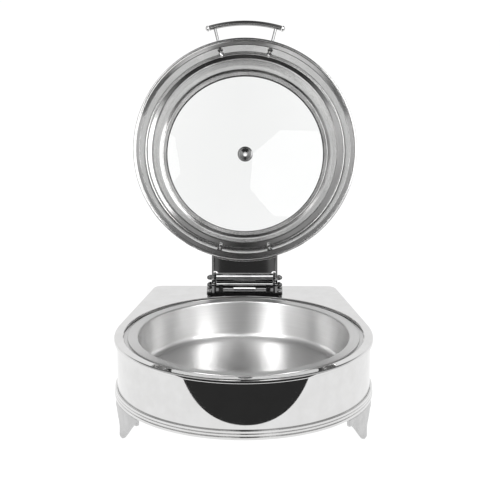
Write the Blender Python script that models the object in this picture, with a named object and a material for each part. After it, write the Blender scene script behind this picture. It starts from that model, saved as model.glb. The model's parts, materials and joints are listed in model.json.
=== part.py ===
"""Round chafing dish with a hinged glass lid.

The base is a polished steel casing, round in front and squared off behind, on four cast
feet.  A water pan hangs in its round well, a food pan sits in the water pan, and a domed
lid with a glass window stands open on a hinge bolted to the rear of the deck.

Units are metres, +Z is up and the front of the dish faces -Y.  Each piece is drawn about
the centre of the well on the deck's top face, and the HOME empty carries them all so that
the origin is the middle of the whole object's box, on the ground.
"""
import math

import bmesh
import bpy
from mathutils import Matrix, Vector

# ---------------------------------------------------------------- driving dimensions
GROUND_Z = -0.1508            # the feet stand this far under the deck's top face
CENTRE_Y = 0.0977             # middle of the whole object, behind the middle of the well
CLEARANCE = 0.0003            # gap between two pieces that touch

# casing, seen from above
DECK_RADIUS = 0.215           # round front of the deck
SIDE_TURN = math.radians(12.9)  # the straight sides leave the circle this far behind the middle
BACK_Y = 0.260                # straight rear edge
CORNER_RADIUS = 0.018         # rear corners
ARC_STEPS, SIDE_STEPS, CORNER_STEPS, BACK_STEPS = 12, 4, 3, 3

DECK_SHEET = 0.0014
WALL_INSET, WALL_SHEET = 0.0043, 0.001
BASE_Z = -0.101               # underside of the casing
WELL_RADIUS = 0.1998
LEDGE_RADIUS, LEDGE_Z = 0.1872, -0.006
FLOOR_SHEET, FLOOR_OPENING = 0.0012, 0.150

# pans
PAN_SHEET = 0.001
WATER_RIM, WATER_MOUTH, WATER_FLOOR, WATER_Z = 0.1985, 0.183, 0.176, -0.089
WATER_RIM_Z = LEDGE_Z + CLEARANCE + PAN_SHEET
FOOD_RIM, FOOD_MOUTH, FOOD_FLOOR, FOOD_Z = 0.1925, 0.175, 0.169, -0.0666
FOOD_RIM_Z = -0.0016

# feet
FOOT_ANGLE = math.radians(-23.1)  # front feet, ahead of the middle of the sides
FOOT_RADIUS = 0.2147
REAR_FOOT_ALONG = 0.140       # rear feet, along the straight sides from where they start
FOOT_HALF_WIDTH, FOOT_SHEET = 0.052, 0.006
LOBE_START, LOBE_Z = 0.044, -0.1125
TOE_HALF_WIDTH, TOE_FLARE = 0.009, 0.0045
TOE_RISE, LOBE_SWELL, FOOT_HOLLOW, FLARE_DROP = 0.0035, 0.0012, 0.0022, 0.028
FOOT_MARKS = (0.0, 0.0036, 0.009, 0.014, 0.020, 0.030, 0.044, 0.048, 0.052)   # out from a foot's middle
TAB_DEPTH, TAB_SHEET, TAB_HALF_WIDTH = 0.022, 0.004, 0.020
FOOT_SCREW_INSET, FOOT_SCREW_SPREAD = 0.017, 0.012

# hinge
PIVOT_Y, PIVOT_Z = 0.2273, 0.0254
LID_OPEN = math.radians(110.6)
AXLE_RADIUS = 0.003
TUBE_RADIUS, TUBE_BORE = 0.0077, 0.0064
EAR_X, EAR_SHEET = 0.0508, 0.003
EAR_FRONT, EAR_BACK, EAR_WAIST = 0.0120, 0.0160, 0.0120   # reach either side of the axle, and height
CHEEK_X, CHEEK_SHEET = 0.0551, 0.003
CHEEK_RADIUS = 0.0095
STOP_Y, STOP_Z = 0.2290, 0.0115
STOP_TUBE_RADIUS = 0.0059
ROLLER_Y, ROLLER_Z, ROLLER_RADIUS, ROLLER_HALF = 0.2150, 0.0085, 0.003, 0.0195
LUG_X, LUG_HALF = 0.038, 0.004
HINGE_PLATE_HALF, HINGE_PLATE_SHEET = 0.067, 0.002
HINGE_PLATE_FRONT, HINGE_PLATE_BACK = 0.209, 0.250
HINGE_SCREWS = ((0.062, 0.218), (0.062, 0.242))
NUT_RADIUS, NUT_LENGTH = 0.0048, 0.0085
EAR_ARC, CHEEK_ARC = (20, 150), (-100, 110)   # where the round heads start and end, in degrees
LUG_DEPTH, LUG_HEAD = 0.004, 0.0035
PIN_RADIUS = 0.0012           # roller pin
SPRING_COIL, SPRING_WIRE, SPRING_HALF, SPRING_TURNS = 0.0049, 0.0007, 0.046, 10
WASHER_RADIUS = 0.0085
ROD_REACH = 0.004             # axle and stop rod, past the cheeks, inside their nuts
BORE_HALF = 0.060
BACKING_FRONT, BACKING_BACK, BACKING_SHEET = 0.2085, 0.2505, 0.003

# fasteners: head radius, head height and shank length
SHANK_RADIUS = 0.002
FOOT_SCREW, HINGE_SCREW = (0.004, 0.0024, 0.0075), (0.004, 0.0026, 0.0085)
FOOT_HOLE_HALF, HINGE_HOLE_DEPTH, HINGE_HOLE_TOP = 0.008, 0.010, 0.004
BOLT_HEAD, BOLT_HEAD_HIGH, BOLT_SEAT = 0.0036, 0.0024, 0.0060

# lid, drawn closed
LID_RIM, LID_RIM_Z, LID_BEAD = 0.1961, -0.0023, 0.0019
LID_LIP = (0.1935, -0.0008)
LID_SHEET = 0.001
LID_INNER = ((0.1735, 0.0290), (0.1655, 0.0325), (0.1585, 0.0430), (0.1518, 0.0590), (0.1485, 0.0680),
             (0.1425, 0.0698))   # shoulder, cove and window seat: inner radius and height
LID_WALL = ((0.1862, 0.0034), (0.1775, 0.0240))   # sloping lower wall: inner radius and height
GLASS_RADIUS, GLASS_SHEET, GLASS_EDGE_Z, GLASS_RISE = 0.1462, 0.004, 0.0726, 0.0125
GLASS_RADII = (0.115, 0.070)  # where the glass bends between its edge and the vent
GASKET_LIP, GASKET_WALL, GASKET_OVER, GASKET_UNDER = 0.1432, 0.0018, 0.0015, 0.0012
RING_FOOT, RING_OUT, RING_SHOULDER, RING_IN = 0.0722, 0.1502, (0.1492, 0.0011), (0.1436, 0.0013)
VENT_BORE, VENT_STEM, VENT_TOP = 0.0065, 0.0062, 0.0078
VENT_CUP = ((0.0025, 0.0078), (0.0042, -0.0004), (0.0105, -0.0030), (0.0138, -0.0024), (0.0140, -0.0008),
            (0.0062, -0.0006))   # radius, and height against the underside of the glass
VENT_NUT_FOOT, VENT_NUT_CROWN, VENT_NUT_HIGH = 0.0120, 0.0112, 0.0032
GRIP_RADIUS, GRIP_THICK, GRIP_Z = 0.2272, 0.0048, 0.0150
GRIP_HALF_ANGLE, POST_ANGLE = math.radians(16.6), math.radians(14.0)
GRIP_END_RADIUS, GRIP_END_GAP = 0.0056, 0.0012
SOCKET_FLOOR = 0.001          # the posts stop this far short of the grip's middle line
POST_RADIUS, STUD_RADIUS = 0.0026, 0.0016
WALL_NUT_RADIUS, WALL_HOLE_START, WALL_HOLE_LENGTH = 0.0042, 0.003, 0.010
NUT_SEAT, STUD_REACH, POST_SHOULDER = 0.0027, 0.0066, 0.0030   # inside and outside the lid's wall
BRACKET_BOLT_Z = 0.0125
BRACKET_WEB_Z, BRACKET_WEB_END, BRACKET_SHEET = 0.0205, 0.2165, 0.002
BRACKET_LOW, BRACKET_BEND, BRACKET_GAP = 0.0070, 0.0006, 0.0002
CHEEK_INSET, CHEEK_HEEL = 0.002, 0.006
HORN_REACH, HORN_SPREAD = 0.017, 30.0    # tail on each cheek that meets the stop rod: length, degrees

ROUND = 40                    # facets round the large turned pieces
SMALL = 10                    # facets round rods and fasteners


# ---------------------------------------------------------------- helpers
def clear_scene():
    for item in list(bpy.data.objects):
        bpy.data.objects.remove(item, do_unlink=True)


def steel(name, shade, roughness):
    return material(name, (shade, shade, shade * 0.985), roughness, 1.0)


def material(name, colour, roughness, metallic=0.0, transmission=0.0):
    made = bpy.data.materials.new(name)
    made.use_nodes = True
    shader = made.node_tree.nodes["Principled BSDF"]
    shader.inputs["Base Color"].default_value = (*colour, 1.0)
    shader.inputs["Roughness"].default_value = roughness
    shader.inputs["Metallic"].default_value = metallic
    shader.inputs["Transmission Weight"].default_value = transmission
    return made


def empty(name, place, parent=None, turn_x=0.0):
    item = bpy.data.objects.new(name, None)
    item.location = place
    item.rotation_euler.x = turn_x
    item.parent = parent
    bpy.context.collection.objects.link(item)
    return item


def piece(name, mesh, finish, parent, place=(0.0, 0.0, 0.0), turn=(0.0, 0.0, 0.0)):
    """Shade a finished bmesh, give it a material and stand it under its parent."""
    bmesh.ops.recalc_face_normals(mesh, faces=mesh.faces)
    data = bpy.data.meshes.new(name)
    mesh.to_mesh(data)
    mesh.free()
    data.shade_smooth()
    data.set_sharp_from_angle(angle=math.radians(35))
    data.materials.append(finish)
    item = bpy.data.objects.new(name, data)
    item.location, item.rotation_euler = place, turn
    item.parent = parent
    bpy.context.collection.objects.link(item)
    return item


def skin(rings, closed_rings=True, closed_stack=True):
    """Join equal rings of points with quads; the stack of rings can itself close on itself."""
    mesh = bmesh.new()
    grid = [[mesh.verts.new(point) for point in ring] for ring in rings]
    count = len(grid[0])
    for row in range(len(grid) if closed_stack else len(grid) - 1):
        low, high = grid[row], grid[(row + 1) % len(grid)]
        for step in range(count if closed_rings else count - 1):
            after = (step + 1) % count
            mesh.faces.new((low[step], low[after], high[after], high[step]))
    if not closed_stack:
        mesh.faces.new(grid[0])
        mesh.faces.new(reversed(grid[-1]))
    return mesh


def circle(radius, height, steps=ROUND):
    turns = [2 * math.pi * step / steps for step in range(steps)]
    return [(radius * math.cos(turn), radius * math.sin(turn), height) for turn in turns]


def turned(profile, steps=ROUND):
    """Turn (radius, height) points about Z: a closed ring, or solid where both ends are at radius 0."""
    if profile[0][0] > 0 or profile[-1][0] > 0:
        return skin([circle(radius, height, steps) for radius, height in profile])
    mesh = skin([circle(radius, height, steps) for radius, height in profile[1:-1]], closed_stack=False)
    for radius, height in (profile[0], profile[-1]):
        ends = [face for face in mesh.faces if len(face.verts) == steps]
        near = min(ends, key=lambda face: abs(face.calc_center_median().z - height))
        if abs(near.calc_center_median().z - height) > CLEARANCE / 10:
            bmesh.ops.poke(mesh, faces=[near])
            tip = min(mesh.verts, key=lambda vert: vert.co.xy.length)
            tip.co = (0.0, 0.0, height)
    return mesh


def solid_sheet(inner, thickness):
    """Close an open profile into a sheet of one thickness, laid on the profile's right-hand side."""
    outer = []
    for step, point in enumerate(inner):
        before, after = inner[max(step - 1, 0)], inner[min(step + 1, len(inner) - 1)]
        along = Vector((after[0] - before[0], after[1] - before[1])).normalized()
        outer.append((point[0] + along.y * thickness, point[1] - along.x * thickness))
    return list(inner) + outer[::-1]


def body_outline(inset, height):
    """Plan outline of the casing moved inwards: front arc, straight sides, round rear corners."""
    corner_y = BACK_Y - CORNER_RADIUS
    corner_x = (DECK_RADIUS - CORNER_RADIUS - corner_y * math.sin(SIDE_TURN)) / math.cos(SIDE_TURN)
    front, corner = DECK_RADIUS - inset, CORNER_RADIUS - inset
    normal = Vector((math.cos(SIDE_TURN), math.sin(SIDE_TURN)))
    half = []
    for step in range(ARC_STEPS):
        turn = -math.pi / 2 + (SIDE_TURN + math.pi / 2) * step / ARC_STEPS
        half.append(Vector((math.cos(turn), math.sin(turn))) * front)
    side_start = normal * front
    side_end = Vector((corner_x, corner_y)) + normal * corner
    half += [side_start.lerp(side_end, step / SIDE_STEPS) for step in range(SIDE_STEPS)]
    for step in range(CORNER_STEPS):
        turn = SIDE_TURN + (math.pi / 2 - SIDE_TURN) * step / CORNER_STEPS
        half.append(Vector((corner_x, corner_y)) + Vector((math.cos(turn), math.sin(turn))) * corner)
    back_start = Vector((corner_x, BACK_Y - inset))
    half += [back_start.lerp(Vector((0.0, back_start.y)), step / BACK_STEPS) for step in range(BACK_STEPS)]
    half.append(Vector((0.0, back_start.y)))
    other = [Vector((-point.x, point.y)) for point in half[-2:0:-1]]
    return [(point.x, point.y, height) for point in half + other]


def outline_circle(radius, height):
    """A circle whose points lie at the same bearings as the outline's points."""
    ring = []
    for x, y, _ in body_outline(0.0, 0.0):
        reach = radius / math.hypot(x, y)
        ring.append((x * reach, y * reach, height))
    return ring


def block(low, high):
    mesh = bmesh.new()
    bmesh.ops.create_cube(mesh, size=1.0)
    size = Vector(high) - Vector(low)
    middle = (Vector(high) + Vector(low)) / 2
    bmesh.ops.scale(mesh, vec=size, verts=mesh.verts)
    bmesh.ops.translate(mesh, vec=middle, verts=mesh.verts)
    return mesh


def side_plate(outline, left, right):
    """Extrude an outline drawn in (y, z) from x = left to x = right."""
    mesh = bmesh.new()
    near = mesh.faces.new([mesh.verts.new((left, y, z)) for y, z in outline])
    grown = bmesh.ops.extrude_face_region(mesh, geom=[near])
    moved = [item for item in grown["geom"] if isinstance(item, bmesh.types.BMVert)]
    bmesh.ops.translate(mesh, vec=(right - left, 0.0, 0.0), verts=moved)
    return mesh


def arc(centre, radius, start, end, steps):
    """Points from one bearing to another, both in degrees, round a centre."""
    turns = [math.radians(start + (end - start) * step / steps) for step in range(steps + 1)]
    return [(centre[0] + radius * math.cos(turn), centre[1] + radius * math.sin(turn)) for turn in turns]


def cutter(name, mesh, parent, place=(0.0, 0.0, 0.0), turn=(0.0, 0.0, 0.0)):
    bmesh.ops.recalc_face_normals(mesh, faces=mesh.faces)
    data = bpy.data.meshes.new(name)
    mesh.to_mesh(data)
    mesh.free()
    item = bpy.data.objects.new(name, data)
    item.location, item.rotation_euler = place, turn
    item.parent = parent
    item.hide_render = True
    item.display_type = "WIRE"
    bpy.context.collection.objects.link(item)
    return item


def boolean(target, tool, operation="DIFFERENCE"):
    step = target.modifiers.new(tool.name, "BOOLEAN")
    step.operation, step.object, step.solver = operation, tool, "EXACT"


def rod_mesh(radius, left, right, steps=SMALL):
    """A round bar along X."""
    mesh = turned([(0.0, left), (radius, left), (radius, right), (0.0, right)], steps)
    bmesh.ops.rotate(mesh, matrix=Matrix.Rotation(math.pi / 2, 3, "Y"), verts=mesh.verts)
    return mesh


def sleeve_mesh(outer, bore, left, right, steps=2 * SMALL):
    """A round tube along X."""
    mesh = turned([(bore, left), (outer, left), (outer, right), (bore, right)], steps)
    bmesh.ops.rotate(mesh, matrix=Matrix.Rotation(math.pi / 2, 3, "Y"), verts=mesh.verts)
    return mesh


def cap_nut(bore, radius=NUT_RADIUS, length=NUT_LENGTH, steps=SMALL):
    """A domed nut with a blind hole, its open face at height 0 and its dome upwards."""
    depth = length * 0.55
    profile = [(0.0, depth), (bore, depth), (bore, 0.0), (radius, 0.0), (radius, length * 0.6),
               (radius * 0.75, length * 0.9), (radius * 0.35, length), (0.0, length)]
    return turned(profile, steps)


def screw(head, head_high, length, shank=SHANK_RADIUS, steps=SMALL):
    """A pan-head screw, its head's flat underside at height 0 and its shank hanging down."""
    profile = [(0.0, head_high), (head * 0.55, head_high), (head, head_high * 0.45), (head, 0.0),
               (shank, 0.0), (shank, -length), (0.0, -length)]
    return turned(profile, steps)


# ---------------------------------------------------------------- casing
def make_deck(home, finish):
    """Top plate: rolled lip outside, round well with a ledge for the water pan inside."""
    lip = [(0.0028, 0.0), (0.0008, -0.0008), (0.0, -0.0028), (0.0, -0.0054),
           (0.0008, -0.0070), (0.0022, -0.0074), (0.0034, -0.0066), (0.0034, -DECK_SHEET)]
    rings = [body_outline(inset, height) for inset, height in lip]
    well_outside = WELL_RADIUS + PAN_SHEET + CLEARANCE
    well = [(well_outside, -DECK_SHEET), (well_outside, LEDGE_Z - DECK_SHEET),
            (LEDGE_RADIUS, LEDGE_Z - DECK_SHEET), (LEDGE_RADIUS, LEDGE_Z),
            (WELL_RADIUS, LEDGE_Z), (WELL_RADIUS, 0.0)]
    rings += [outline_circle(radius, height) for radius, height in well]
    return piece("deck", skin(rings), finish, home)


def make_shell(home, finish):
    top = -DECK_SHEET - CLEARANCE
    profile = [(WALL_INSET, top), (WALL_INSET, BASE_Z),
               (WALL_INSET + WALL_SHEET, BASE_Z), (WALL_INSET + WALL_SHEET, top)]
    return piece("side_wall", skin([body_outline(*point) for point in profile]), finish, home)


def make_base_band(home, finish):
    """Trim band round the foot of the wall, with three stacked beads."""
    inner = WALL_INSET - CLEARANCE
    profile = [(inner, -0.0860), (0.0010, -0.0864), (0.0008, -0.0896), (0.0020, -0.0904),
               (0.0004, -0.0914), (0.0004, -0.0946), (0.0016, -0.0954), (-0.0004, -0.0966),
               (-0.0004, BASE_Z), (inner, BASE_Z)]
    return piece("base_band", skin([body_outline(*point) for point in profile]), finish, home)


def make_floor(home, finish):
    """Bottom sheet, open in the middle for heat, drilled for the feet."""
    inset = WALL_INSET + WALL_SHEET + CLEARANCE
    rings = [body_outline(inset, BASE_Z), body_outline(inset, BASE_Z + FLOOR_SHEET),
             outline_circle(FLOOR_OPENING, BASE_Z + FLOOR_SHEET), outline_circle(FLOOR_OPENING, BASE_Z)]
    return piece("floor_sheet", skin(rings), finish, home)


# ---------------------------------------------------------------- feet
def foot_lower_edge(along):
    """Height of a foot's lower edge at a distance from its middle."""
    reach = abs(along)
    if reach > LOBE_START:
        swell = math.sin(math.pi * (reach - LOBE_START) / (FOOT_HALF_WIDTH - LOBE_START) * 0.75)
        return LOBE_Z - LOBE_SWELL * swell
    if reach > TOE_HALF_WIDTH:
        share = (LOBE_START - reach) / (LOBE_START - TOE_HALF_WIDTH)
        hollow = FOOT_HOLLOW * math.sin(math.pi * share)
        return LOBE_Z + (GROUND_Z + TOE_RISE - LOBE_Z) * share + hollow
    share = reach / TOE_HALF_WIDTH
    return GROUND_Z + TOE_RISE * max(0.0, share - 0.4) / 0.6


def foot_place(rear, along, inset, height):
    """Point on a right-hand foot: distance along the casing's edge, depth behind the outer face."""
    if rear:
        normal = Vector((math.cos(SIDE_TURN), math.sin(SIDE_TURN), 0.0))
        track = Vector((-normal.y, normal.x, 0.0))
        spot = normal * (FOOT_RADIUS - inset) + track * (REAR_FOOT_ALONG + along)
    else:
        turn = FOOT_ANGLE + along / FOOT_RADIUS
        spot = Vector((math.cos(turn), math.sin(turn), 0.0)) * (FOOT_RADIUS - inset)
    return Vector((spot.x, spot.y, height))


def make_foot(name, rear, mirror, home, finish):
    """Cast foot: a curved plate narrowing to a toe, with a fixing tab under the floor."""
    columns = [-mark for mark in FOOT_MARKS[:0:-1]] + list(FOOT_MARKS)
    top = BASE_Z - CLEARANCE
    tab_low, flare_start = top - TAB_SHEET, top - FLARE_DROP
    rows = 5
    mesh = bmesh.new()
    faces = {}
    for side, inset in (("outer", 0.0), ("inner", FOOT_SHEET)):
        for column, along in enumerate(columns):
            low = foot_lower_edge(along)
            for row in range(rows):
                height = tab_low + (low - tab_low) * (row - 1) / (rows - 2) if row else top
                flare = TOE_FLARE * max(0.0, (flare_start - height) / (flare_start - GROUND_Z)) ** 2
                spot = foot_place(rear, along, inset - flare, height)
                faces[side, column, row] = mesh.verts.new((spot.x * mirror, spot.y, spot.z))
    tab_faces = []
    for column in range(len(columns) - 1):
        for row in range(rows - 1):
            for side in ("outer", "inner"):
                quad = mesh.faces.new((faces[side, column, row], faces[side, column + 1, row],
                                       faces[side, column + 1, row + 1], faces[side, column, row + 1]))
                inside = max(abs(columns[column]), abs(columns[column + 1])) <= TAB_HALF_WIDTH
                if side == "inner" and row == 0 and inside:
                    tab_faces.append(quad)
        for row in (0, rows - 1):
            mesh.faces.new((faces["outer", column, row], faces["outer", column + 1, row],
                            faces["inner", column + 1, row], faces["inner", column, row]))
    for column in (0, len(columns) - 1):
        for row in range(rows - 1):
            mesh.faces.new((faces["outer", column, row], faces["outer", column, row + 1],
                            faces["inner", column, row + 1], faces["inner", column, row]))
    middle = foot_place(rear, 0.0, 0.0, 0.0)
    inward = -Vector((middle.x * mirror, middle.y, 0.0)).normalized()
    if rear:
        inward = Vector((-math.cos(SIDE_TURN) * mirror, -math.sin(SIDE_TURN), 0.0))
    grown = bmesh.ops.extrude_face_region(mesh, geom=tab_faces)
    bmesh.ops.delete(mesh, geom=tab_faces, context="FACES_ONLY")
    moved = [item for item in grown["geom"] if isinstance(item, bmesh.types.BMVert)]
    bmesh.ops.translate(mesh, vec=inward * TAB_DEPTH, verts=moved)
    return piece(name, mesh, finish, home)


def make_feet(home, cast, screw_steel, floor):
    """Four feet, each held by two screws that pass through its tab into the floor sheet."""
    bore = SHANK_RADIUS + CLEARANCE
    for end, rear in (("front", False), ("rear", True)):
        for hand, mirror in (("right", 1), ("left", -1)):
            foot = make_foot(f"foot_{end}_{hand}", rear, mirror, home, cast)
            for number, offset in enumerate((-FOOT_SCREW_SPREAD, FOOT_SCREW_SPREAD), start=1):
                spot = foot_place(rear, offset, FOOT_SCREW_INSET, BASE_Z - TAB_SHEET - 2 * CLEARANCE)
                place = (spot.x * mirror, spot.y, spot.z)
                name = f"foot_screw_{end}_{hand}_{number}"
                piece(name, screw(*FOOT_SCREW), screw_steel, home, place, (math.pi, 0, 0))
                hole = turned([(0, -FOOT_HOLE_HALF), (bore, -FOOT_HOLE_HALF), (bore, FOOT_HOLE_HALF),
                               (0, FOOT_HOLE_HALF)], SMALL)
                tool = cutter(f"{name}_hole", hole, home, place)
                boolean(foot, tool)
                boolean(floor, tool)


# ---------------------------------------------------------------- pans
def make_pan(name, parent, finish, rim, mouth, floor, rim_z, floor_z, fillet, lip, hem=0.0):
    """A deep-drawn pan: flat rim with or without a turned-down hem, round shoulder, flat floor."""
    face = [(rim, rim_z)] + arc((mouth + lip, rim_z - lip), lip, 90, 180, 2)
    face += arc((floor - fillet, floor_z + fillet), fillet, 0, -90, 3)
    back = solid_sheet(face, -PAN_SHEET)[len(face):-1]
    edge = [(rim, rim_z - PAN_SHEET)]
    if hem:
        neck = rim - PAN_SHEET
        edge = [(neck, rim_z - PAN_SHEET), (neck, rim_z - hem), (rim, rim_z - hem)]
    profile = [(0.0, floor_z)] + face[::-1] + edge[::-1] + back[::-1] + [(0.0, floor_z - PAN_SHEET)]
    return piece(name, turned(profile), finish, parent)


# ---------------------------------------------------------------- hinge
def make_hinge_base(home, finish):
    """Plate on the deck with two ears for the axle and two lugs for the roller pin."""
    low, top = CLEARANCE, CLEARANCE + HINGE_PLATE_SHEET
    plate = block((-HINGE_PLATE_HALF, HINGE_PLATE_FRONT, low), (HINGE_PLATE_HALF, HINGE_PLATE_BACK, top))
    base = piece("hinge_base", plate, finish, home)
    front, back = PIVOT_Y - EAR_FRONT, PIVOT_Y + EAR_BACK
    ear = [(front, top - low), (back, top - low), (back, EAR_WAIST)]
    ear += arc((PIVOT_Y, PIVOT_Z), CHEEK_RADIUS, *EAR_ARC, 8) + [(front, EAR_WAIST)]
    lug = [(ROLLER_Y - LUG_DEPTH, top - low), (ROLLER_Y + LUG_DEPTH, top - low)]
    lug += arc((ROLLER_Y, ROLLER_Z), LUG_HEAD, 0, 180, 6)
    for hand, mirror in (("right", 1), ("left", -1)):
        tool = cutter(f"ear_{hand}", side_plate(ear, mirror * EAR_X, mirror * (EAR_X + EAR_SHEET)), home)
        boolean(base, tool, "UNION")
        tool = cutter(f"lug_{hand}", side_plate(lug, mirror * LUG_X, mirror * (LUG_X + 2 * LUG_HALF)), home)
        boolean(base, tool, "UNION")
    bores = (("axle", PIVOT_Y, PIVOT_Z, AXLE_RADIUS), ("stop", STOP_Y, STOP_Z, AXLE_RADIUS),
             ("roller", ROLLER_Y, ROLLER_Z, PIN_RADIUS))
    for name, y, z, radius in bores:
        bore = rod_mesh(radius + CLEARANCE, -BORE_HALF, BORE_HALF)
        boolean(base, cutter(f"{name}_bore", bore, home, (0, y, z)))
    return base


def make_hinge_fixings(home, finish, deck, base, screw_steel):
    """Four screws through the hinge plate and the deck into a tapped backing plate."""
    under = -DECK_SHEET - CLEARANCE
    plate = block((-HINGE_PLATE_HALF, BACKING_FRONT, under - BACKING_SHEET),
                  (HINGE_PLATE_HALF, BACKING_BACK, under))
    backing = piece("hinge_backing_plate", plate, finish, home)
    seat = HINGE_PLATE_SHEET + 2 * CLEARANCE
    bore = SHANK_RADIUS + CLEARANCE
    for hand, mirror in (("right", 1), ("left", -1)):
        for row, (x, y) in zip(("front", "rear"), HINGE_SCREWS):
            place = (mirror * x, y, seat)
            name = f"hinge_screw_{row}_{hand}"
            piece(name, screw(*HINGE_SCREW), screw_steel, home, place)
            hole = turned([(0, -HINGE_HOLE_DEPTH), (bore, -HINGE_HOLE_DEPTH), (bore, HINGE_HOLE_TOP),
                           (0, HINGE_HOLE_TOP)], SMALL)
            tool = cutter(f"{name}_hole", hole, home, place)
            for target in (deck, base, backing):
                boolean(target, tool)


def spring_mesh(coil, wire, left, right, turns, steps=8, sides=4):
    """A torsion spring's coil along X, closed at both ends."""
    rings = []
    for step in range(turns * steps + 1):
        turn = 2 * math.pi * step / steps
        middle = left + (right - left) * step / (turns * steps)
        ring = []
        for side in range(sides):
            around = 2 * math.pi * side / sides
            radius = coil + wire * math.cos(around)
            ring.append((middle + wire * math.sin(around), radius * math.cos(turn), radius * math.sin(turn)))
        rings.append(ring)
    return skin(rings, closed_stack=False)


def make_hinge_rods(home, lid_pivot, tube_pivot, roller_pivot, polished, dark, spring_steel, screw_steel):
    """Axle, its tube and spring, the stop rod and its tube, and the roller on its pin."""
    outer_face, gap = CHEEK_X + CHEEK_SHEET, CLEARANCE
    rod_half = outer_face + ROD_REACH
    piece("hinge_axle", rod_mesh(AXLE_RADIUS, -rod_half, rod_half), polished, lid_pivot)
    piece("hinge_tube", sleeve_mesh(TUBE_RADIUS, TUBE_BORE, -EAR_X + gap, EAR_X - gap), polished, tube_pivot)
    spring = spring_mesh(SPRING_COIL, SPRING_WIRE, -SPRING_HALF, SPRING_HALF, SPRING_TURNS)
    piece("torsion_spring", spring, spring_steel, home, (0, PIVOT_Y, PIVOT_Z))
    piece("stop_rod", rod_mesh(AXLE_RADIUS, -rod_half, rod_half), polished, home, (0, STOP_Y, STOP_Z))
    piece("stop_rod_tube", sleeve_mesh(STOP_TUBE_RADIUS, AXLE_RADIUS + gap, -EAR_X + gap, EAR_X - gap),
          polished, home, (0, STOP_Y, STOP_Z))
    pin_half = LUG_X + 2 * LUG_HALF
    pin = rod_mesh(PIN_RADIUS, -pin_half, pin_half, 8)
    piece("roller_pin", pin, polished, home, (0, ROLLER_Y, ROLLER_Z))
    piece("roller", sleeve_mesh(ROLLER_RADIUS, PIN_RADIUS + gap, -ROLLER_HALF, ROLLER_HALF, 16), polished,
          roller_pivot)
    for hand, mirror in (("right", 1), ("left", -1)):
        turn = (0, mirror * math.pi / 2, 0)
        outside = mirror * (outer_face + gap)
        piece(f"axle_nut_{hand}", cap_nut(AXLE_RADIUS + gap), dark, lid_pivot, (outside, 0, 0), turn)
        piece(f"stop_rod_nut_{hand}", cap_nut(AXLE_RADIUS + gap), dark, home,
              (outside, STOP_Y, STOP_Z), turn)
        inner, outer = EAR_X + EAR_SHEET + gap, CHEEK_X - gap
        washer = sleeve_mesh(WASHER_RADIUS, AXLE_RADIUS + gap, mirror * inner, mirror * outer, 16)
        piece(f"hinge_washer_{hand}", washer, screw_steel, lid_pivot)


# ---------------------------------------------------------------- lid
def lid_wall_radius(height):
    """Inner radius of the lid's sloping lower wall."""
    (low_radius, low), (high_radius, high) = LID_WALL
    return low_radius + (high_radius - low_radius) * (height - low) / (high - low)


def make_lid_shell(pivot, shift, finish):
    """Pressed dome ring: rolled rim, flat lip, sloping wall, shoulder and a seat for the window."""
    bead = arc((LID_RIM, LID_RIM_Z), LID_BEAD, 180, 450, 5)
    inner = [LID_LIP, *LID_WALL, *LID_INNER]
    outer = solid_sheet(inner, LID_SHEET)[len(inner):][:-1]
    profile = inner[::-1] + bead + outer[::-1]
    return piece("lid_shell", turned(profile), finish, pivot, shift)


def glass_height(radius):
    return GLASS_EDGE_Z + GLASS_RISE * (1 - (radius / GLASS_RADIUS) ** 2)


def make_window(pivot, shift, glass, rubber, finish, dark):
    """Domed glass in a rubber channel, clamped by a steel ring, with a vent at its middle."""
    gap = CLEARANCE
    radii = [GLASS_RADIUS, *GLASS_RADII, VENT_BORE]
    under = [(radius, glass_height(radius)) for radius in radii]
    upper = [(radius, glass_height(radius) + GLASS_SHEET) for radius in radii]
    piece("lid_window", turned(under[::-1] + upper), glass, pivot, shift)

    foot, lip, rise = GLASS_EDGE_Z, GASKET_LIP, glass_height(GASKET_LIP)
    edge, outside, over = GLASS_RADIUS + gap, GLASS_RADIUS + GASKET_WALL, GLASS_SHEET + GASKET_OVER
    channel = [(lip, rise - gap), (edge, foot - gap), (edge, foot + GLASS_SHEET + gap),
               (lip, rise + GLASS_SHEET + gap), (lip, rise + over), (outside, foot + over),
               (outside, foot - GASKET_UNDER), (lip, foot - GASKET_UNDER)]
    piece("window_gasket", turned(channel), rubber, pivot, shift)

    bore, top = outside + gap, rise + over + gap
    ring = [(bore, RING_FOOT), (RING_OUT, RING_FOOT), (RING_OUT, top)]
    ring += [(radius, top + crown) for radius, crown in (RING_SHOULDER, RING_IN)]
    ring += [(RING_IN[0], top), (bore, top)]
    piece("window_ring", turned(ring), finish, pivot, shift)

    seat = glass_height(0.0)
    cup = [(radius, seat + height) for radius, height in (*VENT_CUP, (VENT_STEM, VENT_TOP))]
    piece("steam_vent", turned(cup[::-1], 24), finish, pivot, shift)
    low, high = seat + GLASS_SHEET + gap, seat + GLASS_SHEET + VENT_NUT_HIGH
    nut = [(VENT_BORE, low), (VENT_NUT_FOOT, low), (VENT_NUT_CROWN, high), (VENT_BORE, high)]
    piece("vent_nut", turned(nut, 24), dark, pivot, shift)


def grip_point(turn, radius=GRIP_RADIUS, height=GRIP_Z):
    """Point on an arc about the lid's axis, measured from the front."""
    return Vector((radius * math.sin(turn), -radius * math.cos(turn), height))


def make_wall_nut(name, turn, height, pivot, shift, finish):
    """Cap nut inside the lid's sloping wall, on the end of a post or a bolt."""
    spot = grip_point(turn, lid_wall_radius(height) - NUT_SEAT, height)
    inward = (-grip_point(turn, 1.0, 0.0)).to_track_quat("Z", "Y").to_euler()
    nut = cap_nut(STUD_RADIUS + CLEARANCE, WALL_NUT_RADIUS, NUT_LENGTH, 8)
    piece(name, nut, finish, pivot, Vector(shift) + spot, inward)


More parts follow.
